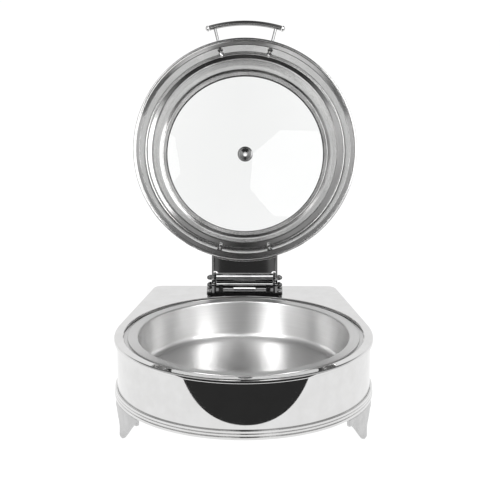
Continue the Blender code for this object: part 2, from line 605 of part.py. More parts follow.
def make_wall_hole(name, turn, height, pivot, shift, targets):
    """Clearance hole through the lid's wall for a stud, and through whatever is fastened there."""
    spot = Vector(shift) + grip_point(turn, lid_wall_radius(height) - WALL_HOLE_START, height)
    outward = grip_point(turn, 1.0, 0.0).to_track_quat("Z", "Y").to_euler()
    radius = STUD_RADIUS + CLEARANCE
    hole = turned([(0, 0), (radius, 0), (radius, WALL_HOLE_LENGTH), (0, WALL_HOLE_LENGTH)], SMALL)
    tool = cutter(name, hole, pivot, spot, outward)
    for target in targets:
        boolean(target, tool)


def make_stud_post(name, turn, pivot, shift, finish, grip, shell):
    """Handle post: a stud through the lid's wall, a shoulder outside it, and its end in the grip."""
    wall = lid_wall_radius(GRIP_Z)
    spot = Vector(shift) + grip_point(turn, wall - STUD_REACH, GRIP_Z)
    outward = grip_point(turn, 1.0, 0.0).to_track_quat("Z", "Y").to_euler()
    shoulder = STUD_REACH + POST_SHOULDER
    length = GRIP_RADIUS - wall + STUD_REACH - SOCKET_FLOOR
    post = turned([(0, 0), (STUD_RADIUS, 0), (STUD_RADIUS, shoulder), (POST_RADIUS, shoulder),
                   (POST_RADIUS, length), (0, length)], SMALL)
    piece(name, post, finish, pivot, spot, outward)
    radius, depth = POST_RADIUS + CLEARANCE, length + CLEARANCE
    socket = turned([(0, shoulder), (radius, shoulder), (radius, depth), (0, depth)], SMALL)
    boolean(grip, cutter(f"{name}_socket", socket, pivot, spot, outward))
    make_wall_hole(f"{name}_hole", turn, GRIP_Z, pivot, shift, [shell])


def make_handle(pivot, shift, finish, shell):
    """Arched grip on two radial posts that pass through the lid's wall to cap nuts inside."""
    steps, sides = 16, 12
    rings = []
    for step in range(steps + 1):
        turn = -GRIP_HALF_ANGLE + 2 * GRIP_HALF_ANGLE * step / steps
        ring = []
        for side in range(sides):
            around = 2 * math.pi * side / sides
            ring.append(grip_point(turn, GRIP_RADIUS + GRIP_THICK * math.cos(around),
                                   GRIP_Z + GRIP_THICK * math.sin(around)))
        rings.append(ring)
    grip = piece("handle_grip", skin(rings, closed_stack=False), finish, pivot, shift)
    for hand, mirror in (("right", 1), ("left", -1)):
        end = grip_point(mirror * (GRIP_HALF_ANGLE + GRIP_END_GAP / GRIP_RADIUS))
        ball = bmesh.new()
        bmesh.ops.create_uvsphere(ball, u_segments=12, v_segments=8, radius=GRIP_END_RADIUS)
        bmesh.ops.bisect_plane(ball, geom=ball.verts[:] + ball.edges[:] + ball.faces[:], dist=1e-6,
                               plane_co=(0, 0, 0), plane_no=(-mirror, 0, 0), clear_outer=True)
        bmesh.ops.holes_fill(ball, edges=[edge for edge in ball.edges if edge.is_boundary])
        bmesh.ops.rotate(ball, matrix=Matrix.Rotation(mirror * GRIP_HALF_ANGLE, 3, "Z"), verts=ball.verts)
        piece(f"grip_end_{hand}", ball, finish, pivot, Vector(shift) + end)
        make_stud_post(f"handle_post_{hand}", mirror * POST_ANGLE, pivot, shift, finish, grip, shell)
        make_wall_nut(f"handle_nut_{hand}", mirror * POST_ANGLE, GRIP_Z, pivot, shift, finish)


def make_lid_bracket(pivot, shift, finish, shell, screw_steel):
    """Channel joining the lid to the axle: a curved flange on the wall, a web and two cheeks."""
    lift = LID_SHEET + CLEARANCE + BRACKET_GAP
    low, high = BRACKET_LOW, BRACKET_WEB_Z
    near_low, near_high = lid_wall_radius(low) + lift, lid_wall_radius(high) + lift
    curved = [(near_low, low), (near_high, high), (near_high - BRACKET_BEND, high + BRACKET_SHEET)]
    straight = [(BRACKET_WEB_END, high + BRACKET_SHEET), (BRACKET_WEB_END, high)]
    back = [(near_high + BRACKET_SHEET, high), (near_low + BRACKET_SHEET, low)]
    half = CHEEK_X - CLEARANCE / 10
    rings = []
    for step in range(9):
        x = -half + 2 * half * step / 8
        ring = [(x, math.sqrt(radius ** 2 - x ** 2), height) for radius, height in curved]
        ring += [(x, y, height) for y, height in straight]
        ring += [(x, math.sqrt(radius ** 2 - x ** 2), height) for radius, height in back]
        rings.append(ring)
    bracket = piece("lid_bracket", skin(rings, closed_stack=False), finish, pivot, shift)

    wall_low = math.sqrt(near_low ** 2 - (CHEEK_X + CHEEK_SHEET) ** 2) + CHEEK_INSET
    wall_high = math.sqrt(near_high ** 2 - (CHEEK_X + CHEEK_SHEET) ** 2) + CHEEK_INSET
    axle = (PIVOT_Y, PIVOT_Z)
    stop_reach = math.hypot(STOP_Y - PIVOT_Y, STOP_Z - PIVOT_Z)
    stop_bearing = math.atan2(STOP_Z - PIVOT_Z, STOP_Y - PIVOT_Y)
    beside_rod = math.asin((AXLE_RADIUS + CLEARANCE) / stop_reach)
    horn = math.degrees(stop_bearing + beside_rod + LID_OPEN)
    cheek = [(wall_low, low), (PIVOT_Y - CHEEK_HEEL, PIVOT_Z - CHEEK_RADIUS)]
    cheek += arc(axle, CHEEK_RADIUS, CHEEK_ARC[0], horn, 6)
    cheek += arc(axle, HORN_REACH, horn, horn + HORN_SPREAD * 0.7, 1)
    cheek += arc(axle, CHEEK_RADIUS, horn + HORN_SPREAD, CHEEK_ARC[1], 2)
    cheek.append((wall_high, high + BRACKET_SHEET))
    for hand, mirror in (("right", 1), ("left", -1)):
        plate = side_plate(cheek, mirror * (CHEEK_X - CLEARANCE), mirror * (CHEEK_X + CHEEK_SHEET))
        boolean(bracket, cutter(f"cheek_{hand}", plate, pivot, shift), "UNION")
    bore = rod_mesh(AXLE_RADIUS + CLEARANCE, -CHEEK_X - 2 * CHEEK_SHEET, CHEEK_X + 2 * CHEEK_SHEET)
    boolean(bracket, cutter("cheek_bore", bore, pivot))

    for hand, mirror in (("right", 1), ("left", -1)):
        turn = math.pi - mirror * POST_ANGLE
        name = f"bracket_bolt_{hand}"
        wall = lid_wall_radius(BRACKET_BOLT_Z)
        spot = grip_point(turn, wall + BOLT_SEAT, BRACKET_BOLT_Z)
        outward = grip_point(turn, 1.0, 0.0).to_track_quat("Z", "Y").to_euler()
        bolt = screw(BOLT_HEAD, BOLT_HEAD_HIGH, BOLT_SEAT + STUD_REACH, STUD_RADIUS, 8)
        piece(name, bolt, screw_steel, pivot, Vector(shift) + spot, outward)
        make_wall_hole(f"{name}_hole", turn, BRACKET_BOLT_Z, pivot, shift, [shell, bracket])
        make_wall_nut(f"bracket_nut_{hand}", turn, BRACKET_BOLT_Z, pivot, shift, finish)


# ---------------------------------------------------------------- assembly
def main():
    clear_scene()
    mirror_steel = steel("mirror_steel", 0.80, 0.06)
    satin_steel = steel("satin_steel", 0.72, 0.30)
    cast_steel = steel("cast_steel", 0.66, 0.34)
    dark_steel = steel("dark_steel", 0.45, 0.25)
    screw_steel = steel("screw_steel", 0.60, 0.28)
    spring_steel = steel("spring_steel", 0.35, 0.35)
    glass = material("window_glass", (0.95, 0.97, 0.97), 0.02, 0.0, 1.0)
    rubber = material("black_rubber", (0.02, 0.02, 0.02), 0.6)

    home = empty("HOME", (0.0, -CENTRE_Y, -GROUND_Z))
    lid_pivot = empty("lid_pivot", (0.0, PIVOT_Y, PIVOT_Z), home, -LID_OPEN)
    tube_pivot = empty("tube_pivot", (0.0, PIVOT_Y, PIVOT_Z), home)
    roller_pivot = empty("roller_pivot", (0.0, ROLLER_Y, ROLLER_Z), home)
    shift = (0.0, -PIVOT_Y, -PIVOT_Z)

    deck = make_deck(home, mirror_steel)
    make_shell(home, mirror_steel)
    make_base_band(home, mirror_steel)
    floor = make_floor(home, satin_steel)
    make_feet(home, cast_steel, screw_steel, floor)
    make_pan("water_pan", home, satin_steel, WATER_RIM, WATER_MOUTH, WATER_FLOOR, WATER_RIM_Z, WATER_Z,
             fillet=0.010, lip=0.002)
    make_pan("food_pan", home, satin_steel, FOOD_RIM, FOOD_MOUTH, FOOD_FLOOR, FOOD_RIM_Z, FOOD_Z,
             fillet=0.012, lip=0.003, hem=0.0028)

    base = make_hinge_base(home, mirror_steel)
    make_hinge_fixings(home, satin_steel, deck, base, screw_steel)
    make_hinge_rods(home, lid_pivot, tube_pivot, roller_pivot, mirror_steel, dark_steel, spring_steel,
                    screw_steel)

    shell = make_lid_shell(lid_pivot, shift, mirror_steel)
    make_window(lid_pivot, shift, glass, rubber, mirror_steel, dark_steel)
    make_handle(lid_pivot, shift, mirror_steel, shell)
    make_lid_bracket(lid_pivot, shift, mirror_steel, shell, screw_steel)


main()
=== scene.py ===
"""Looks of the round chafing dish: fine meshes, procedural metals, glass and studio light.

Every piece is drawn about HOME, the middle of the well on the deck's top face, with the
lid drawn closed.  BASE_PLACE and LID_PLACE carry the pieces to where the frame has them.
"""
import json
from math import asin, atan2, cos, degrees, hypot, pi, radians, sin, sqrt, tan

import bmesh
import bpy
from mathutils import Matrix, Vector

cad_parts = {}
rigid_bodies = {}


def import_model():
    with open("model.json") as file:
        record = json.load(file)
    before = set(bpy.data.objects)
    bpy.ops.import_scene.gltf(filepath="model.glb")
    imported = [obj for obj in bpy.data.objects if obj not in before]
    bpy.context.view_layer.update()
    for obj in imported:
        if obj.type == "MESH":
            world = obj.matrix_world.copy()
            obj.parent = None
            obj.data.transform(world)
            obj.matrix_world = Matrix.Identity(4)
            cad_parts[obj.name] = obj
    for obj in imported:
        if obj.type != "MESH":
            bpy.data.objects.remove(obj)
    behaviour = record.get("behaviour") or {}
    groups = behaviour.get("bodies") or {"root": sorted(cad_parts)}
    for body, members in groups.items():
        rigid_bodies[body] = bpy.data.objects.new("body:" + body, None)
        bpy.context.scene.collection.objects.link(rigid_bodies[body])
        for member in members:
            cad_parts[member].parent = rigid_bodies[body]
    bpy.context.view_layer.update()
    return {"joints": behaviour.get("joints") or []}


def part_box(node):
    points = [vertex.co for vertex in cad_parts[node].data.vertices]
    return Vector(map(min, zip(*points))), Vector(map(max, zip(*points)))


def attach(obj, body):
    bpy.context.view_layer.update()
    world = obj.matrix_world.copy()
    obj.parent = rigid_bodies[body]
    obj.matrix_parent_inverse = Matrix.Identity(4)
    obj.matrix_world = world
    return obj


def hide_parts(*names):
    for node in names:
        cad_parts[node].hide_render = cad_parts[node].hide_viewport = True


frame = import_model()

# ---- places taken from the frame
DECK_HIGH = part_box("deck")[1]
PAN_LOW, PAN_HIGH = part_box("food_pan")
HOME = Vector((0.0, (PAN_LOW.y + PAN_HIGH.y) / 2, DECK_HIGH.z))
GROUND_Z = -HOME.z
HINGE = next(joint for joint in frame["joints"] if joint["name"] == "lid_hinge")
PIVOT = Vector(HINGE["pos_m"]) - HOME
LID_OPEN = radians(HINGE["range_deg"][0])
BASE_PLACE = Matrix.Translation(HOME)
LID_PLACE = Matrix.Translation(HOME + PIVOT) @ Matrix.Rotation(LID_OPEN, 4, "X") @ Matrix.Translation(-PIVOT)
WINDOW = sum(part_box("window_ring"), Vector()) / 2 - HOME

# ---- sizes in metres, as in the part
CLEARANCE = 0.0003
DECK_RADIUS = 0.215
SIDE_TURN = radians(12.9)
BACK_Y = DECK_HIGH.y - HOME.y
CORNER_RADIUS = 0.018
ARC_STEPS, SIDE_STEPS, CORNER_STEPS, BACK_STEPS = 72, 16, 10, 12
DECK_SHEET = 0.0014
WALL_INSET, WALL_SHEET, BASE_Z = 0.0043, 0.001, -0.101
WELL_RADIUS, LEDGE_RADIUS, LEDGE_Z = 0.1998, 0.1872, -0.006
FLOOR_SHEET, FLOOR_OPENING = 0.0012, 0.150
PAN_SHEET = 0.001
FOOT_ANGLE = radians(-23.1)
FOOT_RADIUS, REAR_FOOT_ALONG = 0.2147, 0.140
FOOT_HALF_WIDTH, FOOT_SHEET = 0.052, 0.006
LOBE_START, LOBE_Z = 0.044, -0.1125
TOE_HALF_WIDTH, TOE_FLARE = 0.009, 0.0045
TAB_DEPTH, TAB_SHEET, TAB_HALF_WIDTH = 0.022, 0.004, 0.020
FOOT_SCREW_INSET, FOOT_SCREW_SPREAD = 0.017, 0.012

AXLE_RADIUS, TUBE_RADIUS, TUBE_BORE = 0.003, 0.0077, 0.0064
EAR_X, EAR_SHEET = 0.0508, 0.003
EAR_FRONT, EAR_BACK, EAR_WAIST = 0.0120, 0.0160, 0.0120
CHEEK_X, CHEEK_SHEET, CHEEK_RADIUS = 0.0551, 0.003, 0.0095
STOP_Y, STOP_Z, STOP_TUBE_RADIUS = 0.2290, 0.0115, 0.0059
ROLLER_Y, ROLLER_Z, ROLLER_RADIUS, ROLLER_HALF = 0.2150, 0.0085, 0.003, 0.0195
PIN_RADIUS = 0.0012
LUG_X, LUG_HALF = 0.038, 0.004
HINGE_PLATE_HALF, HINGE_PLATE_SHEET = 0.067, 0.002
HINGE_PLATE_FRONT, HINGE_PLATE_BACK = 0.209, 0.250
HINGE_SCREWS = ((0.062, 0.218), (0.062, 0.242))
NUT_FLAT, SMALL_NUT_FLAT, NUT_LENGTH = 0.004608, 0.0040, 0.0085   # flats are half the width across
SCREW_HEAD, SCREW_SHANK, SCREW_HOLE = 0.004, 0.002, 0.0023

LID_RIM, LID_RIM_Z, LID_BEAD, LID_SHEET = 0.1961, -0.0023, 0.0019, 0.001
LID_WALL = ((0.1862, 0.0034), (0.1775, 0.0240))
GLASS_RADIUS, GLASS_SHEET, GLASS_EDGE_Z, GLASS_RISE = 0.1462, 0.004, 0.0726, 0.0125
GRIP_RADIUS, GRIP_THICK, GRIP_Z = 0.2272, 0.0048, 0.0150
GRIP_HALF_ANGLE, POST_ANGLE = radians(16.6), radians(14.0)
POST_RADIUS, STUD_RADIUS = 0.0026, 0.0016
NUT_SEAT, STUD_REACH, POST_SHOULDER = 0.0027, 0.0066, 0.0030
BRACKET_BOLT_Z = 0.0125
BRACKET_LOW_Z, BRACKET_WEB_Z, BRACKET_WEB_END, BRACKET_SHEET = 0.0070, 0.0205, 0.2165, 0.002
HORN_REACH, HORN_SPREAD = 0.017, 30.0
LID_INSIDE = 0.1925
LID_CREASE_SHADE = ((0.1858, 0.1866), (0.1772, 0.1778), (0.1918, LID_INSIDE))   # bands of painted shade: dark lines where the sheet folds
WEB_TONGUE_HALF, WEB_TONGUE_END = 0.048, PIVOT.y - TUBE_RADIUS + 0.0002

ROUND, SMALL, HOLE_STEPS, NUT_STEPS = 192, 40, 24, 72   # steps round large pieces, rods, holes and nuts
SHARP = radians(38)
HANDS = (("right", 1), ("left", -1))


# ---- outlines
def arc(centre, radius, start, end, steps):
    """Points from one bearing to another, both in degrees, round a centre."""
    turns = [radians(start + (end - start) * step / steps) for step in range(steps + 1)]
    return [(centre[0] + radius * cos(turn), centre[1] + radius * sin(turn)) for turn in turns]


def rounded(corners, closed=True, steps=5):
    """Path through (a, b, radius) corners, each corner turned by an arc of its own radius."""
    path = []
    count = len(corners)
    for index, (a, b, radius) in enumerate(corners):
        corner = Vector((a, b))
        at_end = not closed and index in (0, count - 1)
        if at_end or radius <= 0:
            path.append(corner)
            continue
        before = Vector(corners[index - 1][:2]) - corner
        after = Vector(corners[(index + 1) % count][:2]) - corner
        half = before.angle(after) / 2
        reach = min(radius / tan(half), before.length * 0.49, after.length * 0.49)
        start, end = corner + before.normalized() * reach, corner + after.normalized() * reach
        middle = corner + (before.normalized() + after.normalized()).normalized() * reach / cos(half)
        spoke = (start - middle).length
        for step in range(steps + 1):
            path.append(middle + (start - middle).slerp(end - middle, step / steps).normalized() * spoke)
    return [(point.x, point.y) for point in path]


def thickened(path, thickness):
    """Close an open path into a sheet of one thickness, laid on the path's right-hand side."""
    outer = []
    for step, point in enumerate(path):
        before, after = path[max(step - 1, 0)], path[min(step + 1, len(path) - 1)]
        along = Vector((after[0] - before[0], after[1] - before[1])).normalized()
        outer.append((point[0] + along.y * thickness, point[1] - along.x * thickness))
    return outer


def heading(turn):
    return Vector((cos(turn), sin(turn)))


def body_outline(inset, height):
    """Plan outline of the casing moved inwards: front arc, straight sides, round rear corners."""
    corner_y = BACK_Y - CORNER_RADIUS
    corner_x = (DECK_RADIUS - CORNER_RADIUS - corner_y * sin(SIDE_TURN)) / cos(SIDE_TURN)
    front, rear, corner = DECK_RADIUS - inset, CORNER_RADIUS - inset, Vector((corner_x, corner_y))
    half = [heading(-pi / 2 + (SIDE_TURN + pi / 2) * step / ARC_STEPS) * front for step in range(ARC_STEPS)]
    side, side_end = heading(SIDE_TURN) * front, corner + heading(SIDE_TURN) * rear
    half += [side.lerp(side_end, step / SIDE_STEPS) for step in range(SIDE_STEPS)]
    half += [corner + heading(SIDE_TURN + (pi / 2 - SIDE_TURN) * step / CORNER_STEPS) * rear
             for step in range(CORNER_STEPS)]
    back, middle = Vector((corner_x, BACK_Y - inset)), Vector((0.0, BACK_Y - inset))
    half += [back.lerp(middle, step / BACK_STEPS) for step in range(BACK_STEPS + 1)]
    other = [Vector((-point.x, point.y)) for point in half[-2:0:-1]]
    return [(point.x, point.y, height) for point in half + other]


def outline_circle(radius, height):
    """A circle whose points lie at the same bearings as the outline's points."""
    ring = []
    for x, y, _ in body_outline(0.0, 0.0):
        reach = radius / hypot(x, y)
        ring.append((x * reach, y * reach, height))
    return ring


# ---- meshes
def skin(rings, closed_stack=True, caps=True):
    """Join equal rings of points with quads; the stack closes on itself or has two ends."""
    mesh = bmesh.new()
    grid = [[mesh.verts.new(point) for point in ring] for ring in rings]
    count = len(grid[0])
    for row in range(len(grid) if closed_stack else len(grid) - 1):
        low, high = grid[row], grid[(row + 1) % len(grid)]
        for step in range(count):
            after = (step + 1) % count
            mesh.faces.new((low[step], low[after], high[after], high[step]))
    if caps and not closed_stack:
        mesh.faces.new(grid[0])
        mesh.faces.new(reversed(grid[-1]))
    return mesh


def all_round(steps):
    return [2 * pi * step / steps for step in range(steps)]


def circle(radius, height, steps):
    return [(radius * cos(turn), radius * sin(turn), height) for turn in all_round(steps)]


def close_tips(rings, low, high):
    """Skin a stack of rings about Z and close each end with triangles to a tip on the axis."""
    mesh = skin(rings, closed_stack=False, caps=False)
    steps = len(rings[0])
    for row, height in ((0, low), (len(rings) - 1, high)):
        tip = mesh.verts.new((0.0, 0.0, height))
        mesh.verts.ensure_lookup_table()
        for step in range(steps):
            mesh.faces.new((tip, mesh.verts[row * steps + step],
                            mesh.verts[row * steps + (step + 1) % steps]))
    return mesh


def turned(profile, steps=ROUND):
    """Turn (radius, height) points about Z: a closed ring, or solid where both ends are at radius 0."""
    if profile[0][0] > 0 or profile[-1][0] > 0:
        return skin([circle(radius, height, steps) for radius, height in profile])
    rings = [circle(radius, height, steps) for radius, height in profile[1:-1]]
    return close_tips(rings, profile[0][1], profile[-1][1])


def peg(radius, low, high, steps=HOLE_STEPS):
    """A plain upright cylinder, used as a cutter."""
    return turned([(0, low), (radius, low), (radius, high), (0, high)], steps)


def along_x(mesh):
    bmesh.ops.rotate(mesh, matrix=Matrix.Rotation(pi / 2, 3, "Y"), verts=mesh.verts)
    return mesh


def rod(radius, left, right, chamfer=0.0004, steps=SMALL):
    """A round bar along X with chamfered ends."""
    return along_x(turned([(0.0, left), (radius - chamfer, left), (radius, left + chamfer),
                           (radius, right - chamfer), (radius - chamfer, right), (0.0, right)], steps))


def sleeve(outer, bore, left, right, edge=0.0004):
    """A round tube along X with rounded rims."""
    corners = [(bore, left, edge), (outer, left, edge), (outer, right, edge), (bore, right, edge)]
    return along_x(turned(rounded(corners, steps=3), 2 * SMALL))


def cap_nut(flat):
    """Domed hexagon nut, its seat at height 0 and its dome upwards; flat is half the width across flats."""
    base = NUT_LENGTH * 0.52
    levels = ((0.0, 0.86), (NUT_LENGTH * 0.05, 1.0), (base * 0.9, 1.0), (base, 0.88))
    corner = flat / cos(pi / 6)
    rings = []
    for height, share in levels:
        ring = []
        for turn in all_round(NUT_STEPS):
            side = flat / cos((turn % (pi / 3)) - pi / 6)
            radius = min(side, corner * share)
            ring.append((radius * cos(turn), radius * sin(turn), height))
        rings.append(ring)
    dome = flat * 0.86
    for step in range(7):
        turn = pi / 2 * step / 7
        height = base + (NUT_LENGTH - base) * sin(turn)
        rings.append(circle(dome * cos(turn), height, NUT_STEPS))
    return close_tips(rings, 0.0, NUT_LENGTH)


def extruded(points, shift):
    """Extrude one face along a vector."""
    mesh = bmesh.new()
    near = mesh.faces.new([mesh.verts.new(point) for point in points])
    grown = bmesh.ops.extrude_face_region(mesh, geom=[near])
    far = [item for item in grown["geom"] if isinstance(item, bmesh.types.BMVert)]
    bmesh.ops.translate(mesh, vec=shift, verts=far)
    return mesh


def side_plate(outline, left, right):
    """Extrude an outline drawn in (y, z) from x = left to x = right."""
    return extruded([(left, y, z) for y, z in outline], (right - left, 0.0, 0.0))


def rectangle(half, front, back, corner):
    """Corners for a rounded plate drawn in (x, y)."""
    return [(-half, front, corner), (half, front, corner), (half, back, corner), (-half, back, corner)]


def slab(outline, low, high):
    """Extrude an outline drawn in (x, y) from one height to another."""
    return extruded([(x, y, low) for x, y in outline], (0.0, 0.0, high - low))


def moved(mesh, place):
    bmesh.ops.transform(mesh, matrix=place, verts=mesh.verts)
    return mesh


def at(x, y, z):
    return Matrix.Translation((x, y, z))


def data_from(mesh, name):
    data = bpy.data.meshes.new(name)
    mesh.to_mesh(data)
    mesh.free()
    return data


def solid(mesh, name):
    """Mesh data with all its faces turned outwards."""
    bmesh.ops.recalc_face_normals(mesh, faces=mesh.faces)
    return data_from(mesh, name)


def put(name, data, place=BASE_PLACE):
    """A new object in the scene."""
    item = bpy.data.objects.new(name, data)
    bpy.context.scene.collection.objects.link(item)
    item.matrix_world = place
    return item


def machined(base, added=(), cut=(), bevel=0.0004, segments=2):
    """Unite and cut solids, then soften the edges that are left."""
    item = put("work", solid(base, "work"), Matrix())
    helpers = []
    for meshes, operation in ((added, "UNION"), (cut, "DIFFERENCE")):
        for mesh in meshes:
            tool = put("tool", solid(mesh, "tool"), Matrix())
            step = item.modifiers.new(operation, "BOOLEAN")
            step.operation, step.object, step.solver = operation, tool, "EXACT"
            helpers.append(tool)
    if bevel:
        edge = item.modifiers.new("edge", "BEVEL")
        edge.width, edge.segments = bevel, segments
        edge.limit_method, edge.angle_limit = "ANGLE", SHARP
    bpy.context.view_layer.update()
    shape = item.evaluated_get(bpy.context.evaluated_depsgraph_get())
    mesh = bmesh.new()
    mesh.from_mesh(shape.to_mesh())
    shape.to_mesh_clear()
    for tool in helpers + [item]:
        bpy.data.objects.remove(tool)
    return mesh


def show(node, mesh, finish, body="base", place=BASE_PLACE, even=True):
    """Shade a finished mesh, give it its material, and let it stand for its CAD node."""
    data = solid(mesh, f"look_{node}")
    data.shade_smooth()
    data.set_sharp_from_angle(angle=SHARP)
    data.materials.append(MATERIALS[finish])
    item = put(f"look_{node}", data, place)
    if even:
        weigh = item.modifiers.new("even", "WEIGHTED_NORMAL")
        weigh.keep_sharp = True
        weigh.weight = 100
    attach(item, body)
    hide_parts(node)
    return item


def lid_piece(node, mesh, finish):
    return show(node, mesh, finish, "lid", LID_PLACE)


# ---- materials
class Nodes:
    """Short hand for building a node tree."""

    def __init__(self, tree):
        self.tree = tree

    def feed(self, socket, value):
        """Link a socket to another one, or give it a plain value."""
        if isinstance(value, bpy.types.NodeSocket):
            self.tree.links.new(value, socket)
        else:
            socket.default_value = value

    def node(self, kind, values=None, **settings):
        made = self.tree.nodes.new(kind)
        for key, value in settings.items():
            setattr(made, key, value)
        for key, value in (values or {}).items():
            self.feed(made.inputs[key], value)
        return made

    def calc(self, operation, *values):
        return self.node("ShaderNodeMath", dict(enumerate(values)), operation=operation).outputs["Value"]


class Finish(Nodes):
    """A node material; values that are the same all over are set on the shader itself."""

    def __init__(self, name, **constants):
        self.material = bpy.data.materials.new(name)
        self.material.use_nodes = True
        super().__init__(self.material.node_tree)
        self.shader = self.tree.nodes["Principled BSDF"]
        self.object = self.node("ShaderNodeTexCoord").outputs["Object"]
        for key, value in constants.items():
            self.shader.inputs[key.replace("_", " ")].default_value = value

    def noise(self, scale, detail=3.0):
        values = {"Vector": self.object, "Scale": scale, "Detail": detail, "Roughness": 0.55}
        return self.node("ShaderNodeTexNoise", values).outputs["Fac"]

    def spread(self, factor, low, high):
        """Map the middle of a noise's range to low..high."""
        values = {"Value": factor, "From Min": 0.3, "From Max": 0.7, "To Min": low, "To Max": high}
        return self.node("ShaderNodeMapRange", values).outputs["Result"]

    def shades(self, factor, dark, light):
        """Map the middle of a noise's range to two colours."""
        made = self.node("ShaderNodeValToRGB", {"Fac": factor})
        for stop, position, colour in zip(made.color_ramp.elements, (0.35, 0.65), (dark, light)):
            stop.position = position
            stop.color = (*colour, 1.0)
        return made.outputs["Color"]

    def bump(self, height, strength, distance, **below):
        values = {"Height": height, "Strength": strength, "Distance": distance, **below}
        return self.node("ShaderNodeBump", values).outputs["Normal"]

    def spun_lines(self, fine):
        """Noise drawn out along circles about the object's Z axis, like the marks of spinning."""
        wander = 2.0
        x, y, z = self.node("ShaderNodeSeparateXYZ", {0: self.object}).outputs
        squares = self.calc("MULTIPLY", x, x), self.calc("MULTIPLY", y, y)
        radius = self.calc("SQRT", self.calc("ADD", *squares))
        parts = [self.calc("MULTIPLY", self.calc("DIVIDE", part, radius), wander) for part in (x, y)]
        parts.append(self.calc("MULTIPLY", z, fine))
        joined = self.node("ShaderNodeCombineXYZ", dict(enumerate(parts))).outputs[0]
        values = {"Vector": joined, "W": self.calc("MULTIPLY", radius, fine), "Scale": 1.0, "Detail": 2.0}
        return self.node("ShaderNodeTexNoise", values, noise_dimensions="4D").outputs["Fac"]

    def made_of(self, colour, rough, normal=None):
        for socket, source in (("Base Color", colour), ("Roughness", rough), ("Normal", normal)):
            if source is not None:
                self.feed(self.shader.inputs[socket], source)
        return self.material


def grey(shade, warmth=0.0):
    return (shade * (1 + warmth), shade, shade * (1 - warmth))


def mirror_steel(name="mirror_steel", dark=0.685, light=0.720):
    """Polished stainless steel: almost a mirror, with faint smears and the slight waves of thin sheet."""
    finish = Finish(name, Metallic=1.0)
    return finish.made_of(finish.shades(finish.noise(38.0, 2.0), grey(dark, 0.004), grey(light, 0.002)),
                          finish.spread(finish.noise(7.0, 4.0), 0.020, 0.050),
                          finish.bump(finish.noise(9.0, 1.0), 0.05, 0.0012))


def spun_steel():
    """Inside of the lid: spun and half polished, so that reflections are soft along its rings."""
    finish = Finish("spun_steel", Metallic=1.0)
    lines, smears = finish.spun_lines(900.0), finish.noise(14.0)
    rough = finish.calc("ADD", finish.spread(smears, 0.09, 0.17), finish.spread(lines, 0.0, 0.06))
    return finish.made_of(finish.shades(smears, grey(0.50, 0.006), grey(0.56, 0.004)), rough,
                          finish.bump(lines, 0.05, 0.0002))


def satin_steel():
    """Drawn stainless steel with a spun satin grain round the pan."""
    finish = Finish("satin_steel", Metallic=1.0, Anisotropic=0.6, Anisotropic_Rotation=0.25)
    tangent = finish.node("ShaderNodeTangent", direction_type="RADIAL", axis="Z")
    finish.feed(finish.shader.inputs["Tangent"], tangent.outputs["Tangent"])
    lines, broad = finish.spun_lines(1400.0), finish.spun_lines(260.0)
    both = finish.calc("ADD", finish.calc("MULTIPLY", lines, 0.6), finish.calc("MULTIPLY", broad, 0.4))
    return finish.made_of(finish.shades(both, grey(0.60, 0.003), grey(0.65, 0.002)),
                          finish.spread(both, 0.32, 0.37), finish.bump(lines, 0.03, 0.0001))


def cast_steel():
    """Fine satin casting, with the soft grain of a tumbled surface."""
    finish = Finish("cast_steel", Metallic=1.0)
    cloud = finish.noise(60.0, 4.0)
    grain = finish.bump(finish.noise(1600.0, 2.0), 0.10, 0.0001)
    return finish.made_of(finish.shades(cloud, grey(0.50), grey(0.60)), finish.spread(cloud, 0.30, 0.42),
                          finish.bump(cloud, 0.08, 0.0010, Normal=grain))


def turned_steel(name, dark, light, rough_low, rough_high):
    """Lathe-turned or rolled metal in small parts, with fine marks and a little oil."""
    finish = Finish(name, Metallic=1.0)
    marks, oil = finish.noise(700.0), finish.noise(120.0, 2.0)
    return finish.made_of(finish.shades(oil, grey(dark), grey(light)),
                          finish.spread(marks, rough_low, rough_high), finish.bump(marks, 0.05, 0.0001))


def window_glass():
    """Clear tempered glass with a trace of green and the odd wiped streak."""
    finish = Finish("glass", Transmission_Weight=1.0, IOR=1.5)
    wiped = finish.noise(9.0)
    return finish.made_of(finish.shades(wiped, (0.915, 0.922, 0.918), (0.925, 0.931, 0.928)),
                          finish.spread(wiped, 0.0, 0.012))


def black_rubber():
    finish = Finish("rubber")
    grain = finish.noise(900.0)
    return finish.made_of(finish.shades(grain, grey(0.010), grey(0.028)),
                          finish.spread(grain, 0.45, 0.65), finish.bump(grain, 0.12, 0.0002))


# lid_steel is the polished steel with a darker base colour: painted shade on the lid
MATERIALS = {"mirror_steel": mirror_steel(), "lid_steel": mirror_steel("lid_steel", 0.56, 0.60),
             "spun_steel": spun_steel(), "satin_steel": satin_steel(), "cast_steel": cast_steel(),
             "glass": window_glass(), "rubber": black_rubber()}
# dark_steel, hinge_steel, vent_steel and the near-black hinge-base steel below are darker copies of the
# polished steel: their low base colours are painted shade standing in for dark reflections
for steel, *shades in (("dark_steel", 0.16, 0.24, 0.12, 0.22), ("shaded_steel", 0.05, 0.08, 0.10, 0.20),
                       ("hinge_steel", 0.28, 0.34, 0.05, 0.11), ("vent_steel", 0.34, 0.42, 0.12, 0.22),
                       ("screw_steel", 0.52, 0.66, 0.20, 0.32), ("spring_steel", 0.24, 0.36, 0.26, 0.38)):
    MATERIALS[steel] = turned_steel(steel, *shades)


